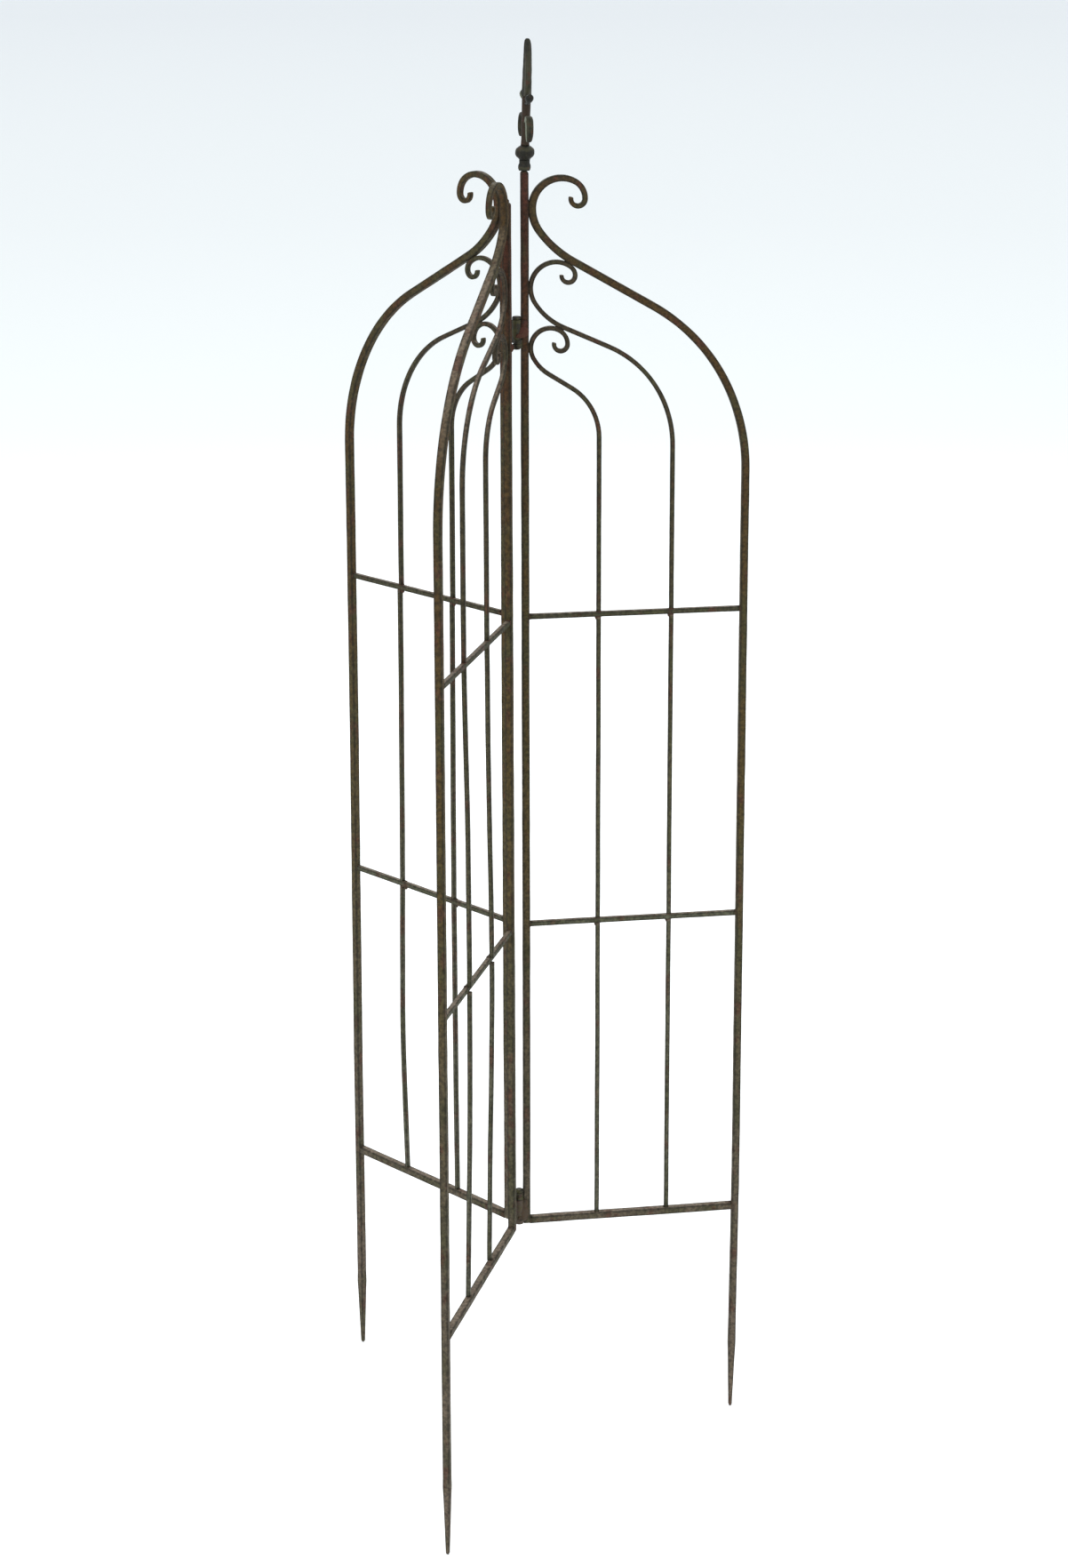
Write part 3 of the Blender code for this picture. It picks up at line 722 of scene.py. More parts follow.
def bar_piece(name, wing, line, bar, corner, material, slot, taper=None, rounds=(0.0, 0.0),
              welds=(), wander=1.0, bow=(0.0, 0.0)):
    """A rolled bar along a line in the wing, a little uneven, standing for its own node."""
    fine = split_long(line, sizes().station)
    points, rounding = with_round_ends(fine, *rounds)
    runs = run_lengths(points)
    tapers = taper(runs) if taper else [1.0] * len(points)
    full = bar + sizes().over
    ring = ring_of(full, full, corner)
    vertices, edges, heats = [], [], []
    seed = 7.0 * (1 + WINGS.index(wing.name)) + sum(map(ord, name)) * 0.013
    stray = sizes().bar_wander * wander
    count = len(points)
    for index, ((s, h), run) in enumerate(zip(points, runs)):
        before, after = points[max(index - 1, 0)], points[min(index + 1, count - 1)]
        heading = math.atan2(after[1] - before[1], after[0] - before[0])
        out_s, out_h = -math.sin(heading), math.cos(heading)
        held = min(1.0, run / WANDER_START, (runs[-1] - run) / WANDER_START)
        shift_out = noise.noise(Vector((run * WANDER_RATE, seed, 0.0))) * stray * held
        shift_across = noise.noise(Vector((run * WANDER_RATE, seed, 5.0))) * stray * held
        swell = 1.0 + SWELL * noise.noise(Vector((run * SWELL_RATE, seed, 9.0)))
        scale = rounding[index] * tapers[index] * swell
        stain = heat_at(s, h, welds)
        shift_across += across_at(bow, run / runs[-1])
        for out, across, edge in ring:
            vertices.append(wing.place(s + out_s * (out * scale + shift_out),
                                       h + out_h * (out * scale + shift_out),
                                       across * scale + shift_across))
            edges.append(edge)
            heats.append(stain)
    faces = tube_faces(count, len(ring))
    return finish_piece(name, (vertices, faces), {"edge": edges, "heat": heats}, material,
                        wing.body, slot, (name,))


def lump(points_faces, place, along, across, out, size, seed, around=14, rings=9):
    """Adds an uneven ellipsoid of weld metal to a list of vertices and faces."""
    vertices, faces = points_faces
    first = len(vertices)
    for ring in range(rings + 1):
        tilt = math.pi * ring / rings
        for side in range(around):
            turn = math.tau * side / around
            unit = (math.cos(tilt), math.sin(tilt) * math.cos(turn),
                    math.sin(tilt) * math.sin(turn))
            if ring in (0, rings) and side:
                continue
            rough = 1.0 + WELD_ROUGH * noise.noise(Vector(unit) * 2.6 + Vector((seed, 0.0, 0.0)))
            offset = (along * unit[0] * size[0] + out * unit[1] * size[1]
                      + across * unit[2] * size[2])
            vertices.append(place + offset * rough)
    body = first + 1
    end = len(vertices) - 1
    for side in range(around):
        after = (side + 1) % around
        faces.append((first, body + after, body + side))
        last = body + (rings - 2) * around
        faces.append((end, last + side, last + after))
    for ring in range(rings - 2):
        low = body + ring * around
        for side in range(around):
            after = (side + 1) % around
            faces.append((low + side, low + after, low + around + after, low + around + side))


def collar_bead(points_faces, wing, s, h, heading, bar, bead, seed, around=28, tube=8):
    """Adds a fillet weld that runs round a square bar's end, in the plane across it."""
    vertices, faces = points_faces
    first = len(vertices)
    half = bar / 2
    way = Vector((math.cos(heading), math.sin(heading)))
    side_way = Vector((-way.y, way.x))
    for step in range(around):
        turn = math.tau * step / around
        c, k = math.cos(turn), math.sin(turn)
        square = half / max(abs(c), abs(k)) ** BEAD_SQUARENESS
        thick = bead * (1.0 + BEAD_ROUGH * noise.noise(Vector((c * 2.2, k * 2.2, seed))))
        for loop in range(tube):
            angle = math.tau * loop / tube
            out = square - BEAD_SINK * bead + thick * math.cos(angle)
            lift = thick * math.sin(angle)
            flat = way * lift + side_way * out * c
            vertices.append(wing.place(s + flat.x, h + flat.y, out * k))
    for face in tube_faces(around, tube, closed=True):
        faces.append(tuple(first + corner for corner in face))


# ---------------------------------------------------------------- the bars of a wing


def drawn_out(scroll, full, tip):
    """A taper that draws the bar out to its tip over the length of the scroll."""
    reach = sum(radius * math.radians(turn) for radius, turn in scroll)

    def taper(runs):
        return [tip / full + (1.0 - tip / full) * min(1.0, (runs[-1] - run) / reach)
                for run in runs]
    return taper


def spiked(scroll, full, tip):
    """A leg's taper: forged to a spike below, with a slight shoulder, and drawn out above."""
    upper = drawn_out(scroll, full, tip)

    def taper(runs):
        scales = []
        for run, scale in zip(runs, upper(runs)):
            share = min(1.0, run / SPIKE_LENGTH)
            forged = SPIKE_TIP / full + (1.0 - SPIKE_TIP / full) * share ** SPIKE_POWER
            proud, reach = SPIKE_SHOULDER
            swell = proud * math.exp(-((run - SPIKE_LENGTH) / reach) ** 2)
            scales.append(min(scale, forged) + swell)
        return scales
    return taper


def rod_end(runs):
    """A rod's taper: only the last of the scroll is drawn down."""
    tip = INNER_BENDS["tip"] / ROD_BAR
    return [tip + (1.0 - tip) * min(1.0, (runs[-1] - run) / ROD_SCROLL_TAPER) for run in runs]


class WingLines:
    """Centre lines and weld places of one wing, worked out once from the frame."""

    def __init__(self, wing):
        seat = FRAME_BAR + WELD_GAP
        rod_seat = (FRAME_BAR + ROD_BAR) / 2 + WELD_GAP
        clear = RAIL_BAR / 2 + WELD_GAP
        arch, turn = arch_line(seat, ARCH_BENDS, wing.leg)
        name = wing.name
        lift = self.lift_to(arch, f"arch_{name}", FRAME_BAR, ARCH_BENDS)
        self.arch = [(wing.leg, 0.0), (wing.leg, SPIKE_LENGTH)]
        self.arch += [(s, h + lift) for s, h in arch]
        self.arch_touch = (FRAME_BAR / 2, lift)
        middle, _ = arch_line(rod_seat, MIDDLE_BENDS, wing.middle)
        lift = self.lift_to(middle, f"middle_arch_{name}", ROD_BAR, None)
        self.middle = [(wing.middle, UPPER_RAIL_Z + clear)]
        self.middle += [(s, h + lift) for s, h in middle]
        self.middle_touch = (FRAME_BAR / 2, lift)
        inner, _ = arch_line(rod_seat, INNER_BENDS, wing.inner)
        lift = self.lift_to(inner, f"inner_arch_{name}", ROD_BAR, None)
        self.inner = [(wing.inner, UPPER_RAIL_Z + clear)]
        self.inner += [(s, h + lift) for s, h in inner]
        self.inner_touch = (FRAME_BAR / 2, lift)
        self.middle_kiss = self.nearest(self.middle, self.arch, ROD_BAR, FRAME_BAR)
        self.inner_kiss = self.nearest(self.inner, self.middle, ROD_BAR, ROD_BAR)

    @staticmethod
    def lift_to(line, node, bar, bends):
        """Height of the touching point, from the top of the frame's node."""
        top = max(range(len(line)), key=lambda i: line[i][1])
        scale = 1.0
        if bends:
            runs = run_lengths(line)
            scale = drawn_out(bends["scroll"], bar, bends["tip"])(runs)[top]
        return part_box(node)[1].z - line[top][1] - bar / 2 * scale

    @staticmethod
    def nearest(lower, upper, lower_bar, upper_bar):
        """Where the lower bar's scroll touches the bar above, and the slope there."""
        best = None
        for (s, h) in lower:
            for (a, b) in zip(upper, upper[1:]):
                step = (b[0] - a[0], b[1] - a[1])
                size = step[0] ** 2 + step[1] ** 2
                share = ((s - a[0]) * step[0] + (h - a[1]) * step[1]) / size
                share = min(max(share, 0.0), 1.0)
                near = (a[0] + step[0] * share, a[1] + step[1] * share)
                gap = math.dist((s, h), near)
                if best is None or gap < best[0]:
                    best = (gap, (s, h), near, math.atan2(step[1], step[0]))
        _, low, high, slope = best
        share = lower_bar / (lower_bar + upper_bar)
        spot = tuple(a + (b - a) * share for a, b in zip(low, high))
        return spot, slope


LINES = {}


def lines_of(wing):
    """The wing's lines, made once."""
    if wing.name not in LINES:
        LINES[wing.name] = WingLines(wing)
    return LINES[wing.name]


RAILS = (("bottom_rail", BOTTOM_RAIL_Z, FRAME_BAR), ("middle_rail", MIDDLE_RAIL_Z, RAIL_BAR),
         ("upper_rail", UPPER_RAIL_Z, RAIL_BAR))


class TRELLIS_OT_frame_bars(bpy.types.Operator):
    """Builds each wing's post, its arch with leg and spike, and its bottom rail"""

    bl_idname = "trellis.frame_bars"
    bl_label = "Frame bars"

    def execute(self, context):
        corner = sizes().bar_corner
        look = ("rolled_steel_frame_bar", "frame_bar")
        for wing in map(Wing, WINGS):
            lines = lines_of(wing)
            low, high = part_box(f"post_{wing.name}")
            joins = [(0.0, height) for _, height, _ in RAILS]
            joins += [lines.arch_touch, lines.middle_touch, lines.inner_touch]
            joins += [(0.0, centre(f"hinge_sleeve_{end}").z) for end in ("upper", "lower")]
            bar_piece(f"post_{wing.name}", wing, [(0.0, low.z), (0.0, high.z)], FRAME_BAR,
                      corner, *look, rounds=POST_ENDS, welds=joins)
            joins = [(wing.leg, height) for _, height, _ in RAILS]
            joins += [lines.arch_touch, lines.middle_kiss[0]]
            bar_piece(f"arch_{wing.name}", wing, lines.arch, FRAME_BAR, corner,
                      "bent_steel_arch_bar", "frame_bar",
                      taper=spiked(ARCH_BENDS["scroll"], FRAME_BAR, ARCH_BENDS["tip"]),
                      rounds=ARCH_ENDS, welds=joins)
            rail_of(wing, "bottom_rail", BOTTOM_RAIL_Z, FRAME_BAR, corner, look)
        return {"FINISHED"}


def rail_of(wing, name, height, bar, corner, look):
    """One rail from the post to the leg."""
    clear = FRAME_BAR / 2 + WELD_GAP
    joins = [(0.0, height), (wing.inner, height), (wing.middle, height), (wing.leg, height)]
    bar_piece(f"{name}_{wing.name}", wing, [(clear, height), (wing.leg - clear, height)], bar,
              corner, *look, welds=joins)


class TRELLIS_OT_rails(bpy.types.Operator):
    """Builds the middle and upper rails of each wing"""

    bl_idname = "trellis.rails"
    bl_label = "Rails"

    def execute(self, context):
        for wing in map(Wing, WINGS):
            for name, height, bar in RAILS[1:]:
                rail_of(wing, name, height, bar, sizes().rod_corner,
                        ("rolled_steel_rail_bar", "rail_bar"))
        return {"FINISHED"}


class TRELLIS_OT_rods(bpy.types.Operator):
    """Builds the rods between the rails and the scrolled arches on top of them"""

    bl_idname = "trellis.rods"
    bl_label = "Rods"

    def execute(self, context):
        corner = sizes().rod_corner
        look = ("rolled_steel_rod", "rod_bar")
        for wing in map(Wing, WINGS):
            lines = lines_of(wing)
            for name, s in (("middle", wing.middle), ("inner", wing.inner)):
                for bay in ("lower", "upper"):
                    node = f"{name}_rod_{bay}_{wing.name}"
                    low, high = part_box(node)
                    bows = smooth_profile(HAND_SET.get(node, STRAIGHT), 16)
                    line = [(s + out, low.z + (high.z - low.z) * share)
                            for share, out, _ in bows]
                    bar_piece(node, wing, line, ROD_BAR, corner, *look,
                              welds=[line[0], line[-1]], wander=ROD_WANDER,
                              bow=[across for _, _, across in bows])
            arches = (("middle", lines.middle, [lines.middle_touch, lines.middle_kiss[0],
                                                lines.inner_kiss[0]]),
                      ("inner", lines.inner, [lines.inner_touch, lines.inner_kiss[0]]))
            for name, line, joins in arches:
                bar_piece(f"{name}_arch_{wing.name}", wing, line, ROD_BAR, corner, *look,
                          taper=rod_end, rounds=ROD_ARCH_ENDS, welds=[*joins, line[0]])
        return {"FINISHED"}


# Beads as a share of the full bead, and lumps of weld metal by their half sizes: along the
# joint, out of it and across the wing
BOTTOM_BEAD = 0.75
ROD_BEAD = 0.8
ROD_LUMP = (0.0030, 0.0020, 0.0022)
ROD_LUMP_DROP = 0.0008
ARCH_FILLET = (0.0078, 0.0021, 0.0032)
ROD_FILLET = (0.0052, 0.0016, 0.0021)
KISS_FILLET = (0.0050, 0.0017, 0.0021)

# Welds of an eye, as (up, toward the hinge, across)
EYE_WELDS = {"upper": (0.0052, 0.0038, 0.0032), "lower": (0.0042, 0.0030, 0.0038)}
HINGE_WELD_GAP = 0.0004

# Welds of a sleeve: share of its height, sideways, toward the hinge, size with its height as a
# share of the sleeve's, and two numbers that make each lump its own shape
SLEEVE_WELDS = (
    (0.24, -0.0033, 0.0, (0.20, 0.0045, 0.0028), -1.0, 2.3),
    (0.52, -0.0033, 0.0, (0.20, 0.0045, 0.0028), -0.3, 2.3),
    (0.80, -0.0033, 0.0, (0.20, 0.0045, 0.0028), 0.4, 2.3),
    (0.24, 0.0033, 0.0, (0.20, 0.0045, 0.0028), 1.0, 2.3),
    (0.52, 0.0033, 0.0, (0.20, 0.0045, 0.0028), 1.7, 2.3),
    (0.80, 0.0033, 0.0, (0.20, 0.0045, 0.0028), 2.4, 2.3),
    (0.36, 0.0042, 0.0006, (0.31, 0.0066, 0.0022), 4.0, 1.9),
    (0.20, 0.0050, 0.0042, (0.13, 0.0066, 0.0016), 6.0, 1.3),
)


class TRELLIS_OT_weld_beads(bpy.types.Operator):
    """Lays the weld beads where bars end on one another, touch, or carry the hinges"""

    bl_idname = "trellis.weld_beads"
    bl_label = "Weld beads"

    def execute(self, context):
        for wing in map(Wing, WINGS):
            data = ([], [])
            self.rail_ends(wing, data)
            self.rod_ends(wing, data)
            self.touches(wing, data)
            self.hinge_welds(wing, data)
            vertices, faces = data
            attributes = {"edge": [0.0] * len(vertices)}
            finish_piece(f"weld_beads_{wing.name}", data, attributes, "arc_weld_metal",
                         wing.body, "frame_bar")
        return {"FINISHED"}

    def rail_ends(self, wing, data):
        """Beads round both ends of each rail."""
        bead = sizes().bead
        for index, (_, height, bar) in enumerate(RAILS):
            size = bead * (BOTTOM_BEAD if bar == FRAME_BAR else 1.0)
            for s, heading in ((FRAME_BAR / 2, 0.0), (wing.leg - FRAME_BAR / 2, math.pi)):
                collar_bead(data, wing, s, height, heading, bar, size, index + s * 40.0)

    def rod_ends(self, wing, data):
        """Beads where a rod stands on a rail or hangs under it."""
        bead = sizes().bead * ROD_BEAD
        for index, (_, height, bar) in enumerate(RAILS):
            for s in (wing.inner, wing.middle):
                collar_bead(data, wing, s, height + bar / 2, math.pi / 2, ROD_BAR, bead,
                            index + s * 90.0)
                if index:
                    collar_bead(data, wing, s, height - bar / 2, -math.pi / 2, ROD_BAR, bead,
                                index + s * 70.0)
                    lump(data, wing.place(s - ROD_BAR / 2, height - bar / 2 - ROD_LUMP_DROP),
                         Vector((0.0, 0.0, 1.0)), wing.across, wing.along,
                         ROD_LUMP, index + s * 50.0)

    def touches(self, wing, data):
        """Fillets where scrolls touch the post and the bar above them."""
        lines = lines_of(wing)
        up = Vector((0.0, 0.0, 1.0))
        fillets = ((lines.arch_touch, ARCH_FILLET), (lines.middle_touch, ROD_FILLET),
                   (lines.inner_touch, ROD_FILLET))
        for index, ((s, h), size) in enumerate(fillets):
            lump(data, wing.place(s + WELD_GAP, h), up, wing.across, wing.along, size,
                 3.0 * index + 1.7)
        for index, ((s, h), slope) in enumerate((lines.middle_kiss, lines.inner_kiss)):
            along = wing.along * math.cos(slope) + up * math.sin(slope)
            out = up * math.cos(slope) - wing.along * math.sin(slope)
            lump(data, wing.place(s, h), along, wing.across, out, KISS_FILLET,
                 5.0 * index + 4.1)

    def hinge_welds(self, wing, data):
        """Welds of the sleeves on wing A's post, and of the eyes on the other posts."""
        up = Vector((0.0, 0.0, 1.0))
        toward = (AXIS - wing.foot).normalized()
        sideways = Vector((-toward.y, toward.x, 0.0))
        face_of_post = wing.foot + toward * (FRAME_BAR / 2 + HINGE_WELD_GAP)
        for seed, end in enumerate(("upper", "lower")):
            if wing.name != "a":
                eye = centre(f"hinge_eye_{end}_{wing.name}").z
                lump(data, face_of_post + up * eye, up, sideways, toward,
                     EYE_WELDS[end], seed * 3.1 + 8.0)
                continue
            low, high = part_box(f"hinge_sleeve_{end}")
            tall = high.z - low.z
            for share, aside, nearer, size, mark, step in SLEEVE_WELDS:
                place = (face_of_post + up * (low.z + tall * share) + sideways * aside
                         + toward * nearer)
                lump(data, place, up, sideways, toward, (tall * size[0], *size[1:]),
                     seed * step + mark)


# ---------------------------------------------------------------- hinges and finial


def turned(name, profile, place, material, body, slot, replaced, closed=False, steps=48,
           edges=None, lean=0.0, rust=0.0):
    """A piece turned about an upright line from (radius, height) points, top to bottom."""
    vertices, faces, attribute = [], [], []
    rings = []
    for index, (radius, height) in enumerate(profile):
        edge = edges[index] if edges else 0.0
        if radius < 1e-6:
            rings.append([len(vertices)])
            vertices.append(place + Vector((lean * height, 0.0, height)))
            attribute.append(edge)
            continue
        ring = []
        for step in range(steps):
            turn = math.tau * step / steps
            rough = 1.0 + TURNED_ROUGH * noise.noise(
                Vector((math.cos(turn) * 1.7, math.sin(turn) * 1.7, (place.z + height) * 90.0)))
            ring.append(len(vertices))
            vertices.append(place + Vector((radius * rough * math.cos(turn) + lean * height,
                                            radius * rough * math.sin(turn), height)))
            attribute.append(edge)
        rings.append(ring)
    pairs = list(zip(rings, rings[1:]))
    if closed:
        pairs.append((rings[-1], rings[0]))
    for first, second in pairs:
        for step in range(steps):
            after = (step + 1) % steps
            if len(first) == 1:
                faces.append((first[0], second[after], second[step]))
            elif len(second) == 1:
                faces.append((first[step], first[after], second[0]))
            else:
                faces.append((first[step], first[after], second[after], second[step]))
    attributes = {"edge": attribute, "rust": [rust] * len(vertices)}
    return finish_piece(name, (vertices, faces), attributes, material, body, slot, replaced)


EYE_ROUNDING = 0.0005
EYE_EDGE_ANGLE = math.radians(50.0)
LOWER_SLEEVE_SAG = 0.0020
SLEEVE_OVER = 1.07
SLEEVE_BORE = 0.52
SLEEVE_RIM = 0.0007

# Outlines of the pin's head, as (share of its radius, depth under its top), and of its peened
# foot, as (share of the head's radius, height)
PIN_HEAD = ((0.0, 0.0), (0.45, 0.0001), (0.78, 0.0005), (0.93, 0.0011), (1.0, 0.0019),
            (1.0, 0.0031), (0.92, 0.0036), (0.5, 0.0036))
PIN_FOOT = ((0.5, 0.0014), (0.8, 0.0014), (0.8, 0.0009), (0.66, 0.0002), (0.4, 0.0), (0.0, 0.0))
PIN_END = ((0.5, 0.0004), (0.42, 0.0), (0.0, 0.0))


class TRELLIS_OT_hinges(bpy.types.Operator):
    """Builds the hinge sleeves and pins, and finishes the forged eyes"""

    bl_idname = "trellis.hinges"
    bl_label = "Hinges"

    def execute(self, context):
        for end in ("upper", "lower"):
            self.sleeve(f"hinge_sleeve_{end}")
            self.pin(f"hinge_pin_{end}", footed=end == "upper")
            for wing in ("b", "c"):
                eye = frame["nodes"][f"hinge_eye_{end}_{wing}"]
                eye.data.materials.clear()
                eye.data.materials.append(material_of("oiled_pin_iron"))
                rounding = eye.modifiers.new("Forged edge", "BEVEL")
                rounding.width = EYE_ROUNDING
                rounding.segments = 2
                rounding.limit_method = "ANGLE"
                rounding.angle_limit = EYE_EDGE_ANGLE
                rounding.harden_normals = True
        return {"FINISHED"}

    def beside_post(self, height):
        """The hinge line at a height, moved with the post that the sleeves are welded to."""
        wing = Wing("a")
        return AXIS + wing.along * wing.pulled("post", height)[0] + Vector((0.0, 0.0, height))

    def sleeve(self, name):
        """A cut tube with its rims filed round."""
        low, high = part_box(name)
        sag = LOWER_SLEEVE_SAG if name.endswith("lower") else 0.0
        place = self.beside_post(low.z - sag)
        outer = (high.x - low.x) / 2 * SLEEVE_OVER
        bore = outer * SLEEVE_BORE
        tall = high.z - low.z + sag
        rim = SLEEVE_RIM
        profile = [(bore, tall), (outer - rim, tall), (outer - rim * 0.3, tall - rim * 0.3),
                   (outer, tall - rim), (outer, tall * 0.5), (outer, rim),
                   (outer - rim * 0.3, rim * 0.3), (outer - rim, 0.0), (bore, 0.0)]
        turned(name, profile, place, "lacquered_sleeve_iron", "wing_a", "hinge_iron",
               (name,), closed=True)

    def pin(self, name, footed):
        """A pin with a thick, softly domed head, and a peened foot on the upper one."""
        low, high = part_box(name)
        place = self.beside_post(low.z)
        head = (high.x - low.x) / 2
        top = high.z - low.z
        profile = [(share * head, top - depth) for share, depth in PIN_HEAD]
        profile += [(share * head, height) for share, height in (PIN_FOOT if footed else PIN_END)]
        turned(name, profile, place, "oiled_pin_iron", "wing_a", "hinge_iron", (name,))


def smooth_profile(points, count=28):
    """A smooth curve of (radius, height) points through the given ones, ends included."""
    out = []
    last = len(points) - 1
    for step in range(count + 1):
        place = step / count * last
        index = min(int(place), last - 1)
        share = place - index
        p0, p1 = points[max(index - 1, 0)], points[index]
        p2, p3 = points[index + 1], points[min(index + 2, last)]
        out.append(tuple(
            0.5 * (2 * b + (c - a) * share + (2 * a - 5 * b + 4 * c - d) * share ** 2
                   + (3 * b - a - 3 * c + d) * share ** 3)
            for a, b, c, d in zip(p0, p1, p2, p3)))
    return out


# Outlines of the round castings as (share of radius, share of height), top first
COLLAR_SHAPE = ((0.86, 1.0), (0.85, 0.70), (0.91, 0.62), (1.0, 0.42), (1.0, 0.22), (0.90, 0.04),
                (0.84, 0.0))
KNOP_SHAPE = ((0.50, 1.0), (0.66, 0.93), (0.93, 0.76), (1.0, 0.56), (0.99, 0.38), (0.86, 0.22),
              (0.66, 0.10), (0.56, 0.0))
STEM_SHAPE = ((0.98, 1.0), (0.99, 0.9), (0.97, 0.72), (0.96, 0.6), (1.0, 0.42), (0.95, 0.3),
              (0.90, 0.14), (0.98, 0.0))

# The blade from its foot up, as (share of height, share of width, share of thickness)
BLADE_OUTLINE = ((0.0, 0.42, 0.90), (0.03, 0.60, 1.0), (0.08, 0.82, 1.0), (0.15, 0.97, 0.99),
                 (0.25, 1.0, 0.97), (0.38, 0.95, 0.95), (0.52, 0.84, 0.92), (0.66, 0.69, 0.87),
                 (0.78, 0.53, 0.82), (0.88, 0.37, 0.75), (0.95, 0.24, 0.64), (0.985, 0.14, 0.46),
                 (1.0, 0.05, 0.20))
BLADE_OVER = 0.0011
BLADE_TIP_BEND = 0.0009

# A quarter of the blade's section, from the midrib to the edge: (thickness, width, darkness)
RIB_TO_EDGE = ((1.0, 0.0, 1.0), (0.86, 0.16, 0.8), (0.66, 0.34, 0.45), (0.60, 0.60, 0.25),
               (0.54, 0.84, 0.3), (0.26, 0.98, 0.1))
BLADE_SECTION = (*RIB_TO_EDGE,
                 *((-x, y, edge) for x, y, edge in RIB_TO_EDGE[::-1]),
                 *((-x, -y, edge) for x, y, edge in RIB_TO_EDGE[1:]),
                 *((x, -y, edge) for x, y, edge in RIB_TO_EDGE[:0:-1]))

# Paths of a leaf and a bud as (share of reach, share of height, scale); the first reach is a
# share of the stem's radius
LEAF_PATH = ((0.92, 0.66, 0.50), (0.46, 0.86, 0.74), (0.64, 0.90, 0.92), (0.80, 0.78, 1.0),
             (0.885, 0.55, 1.0), (0.90, 0.34, 0.96), (0.88, 0.16, 0.80), (0.80, 0.075, 0.62),
             (0.72, 0.13, 0.42))
BUD_PATH = ((0.90, 0.16, 0.50), (0.45, 0.20, 0.44), (0.60, 0.30, 0.50), (0.70, 0.42, 0.78),
            (0.80, 0.55, 0.99), (0.88, 0.66, 0.92), (0.945, 0.76, 0.58), (0.985, 0.84, 0.22))
LEAF_DEPTH = 0.0044
BUD_DEPTH = 0.92
REAR_FULLNESS = 1.25
GROOVE = 0.30
SWEPT_SIDES = 16


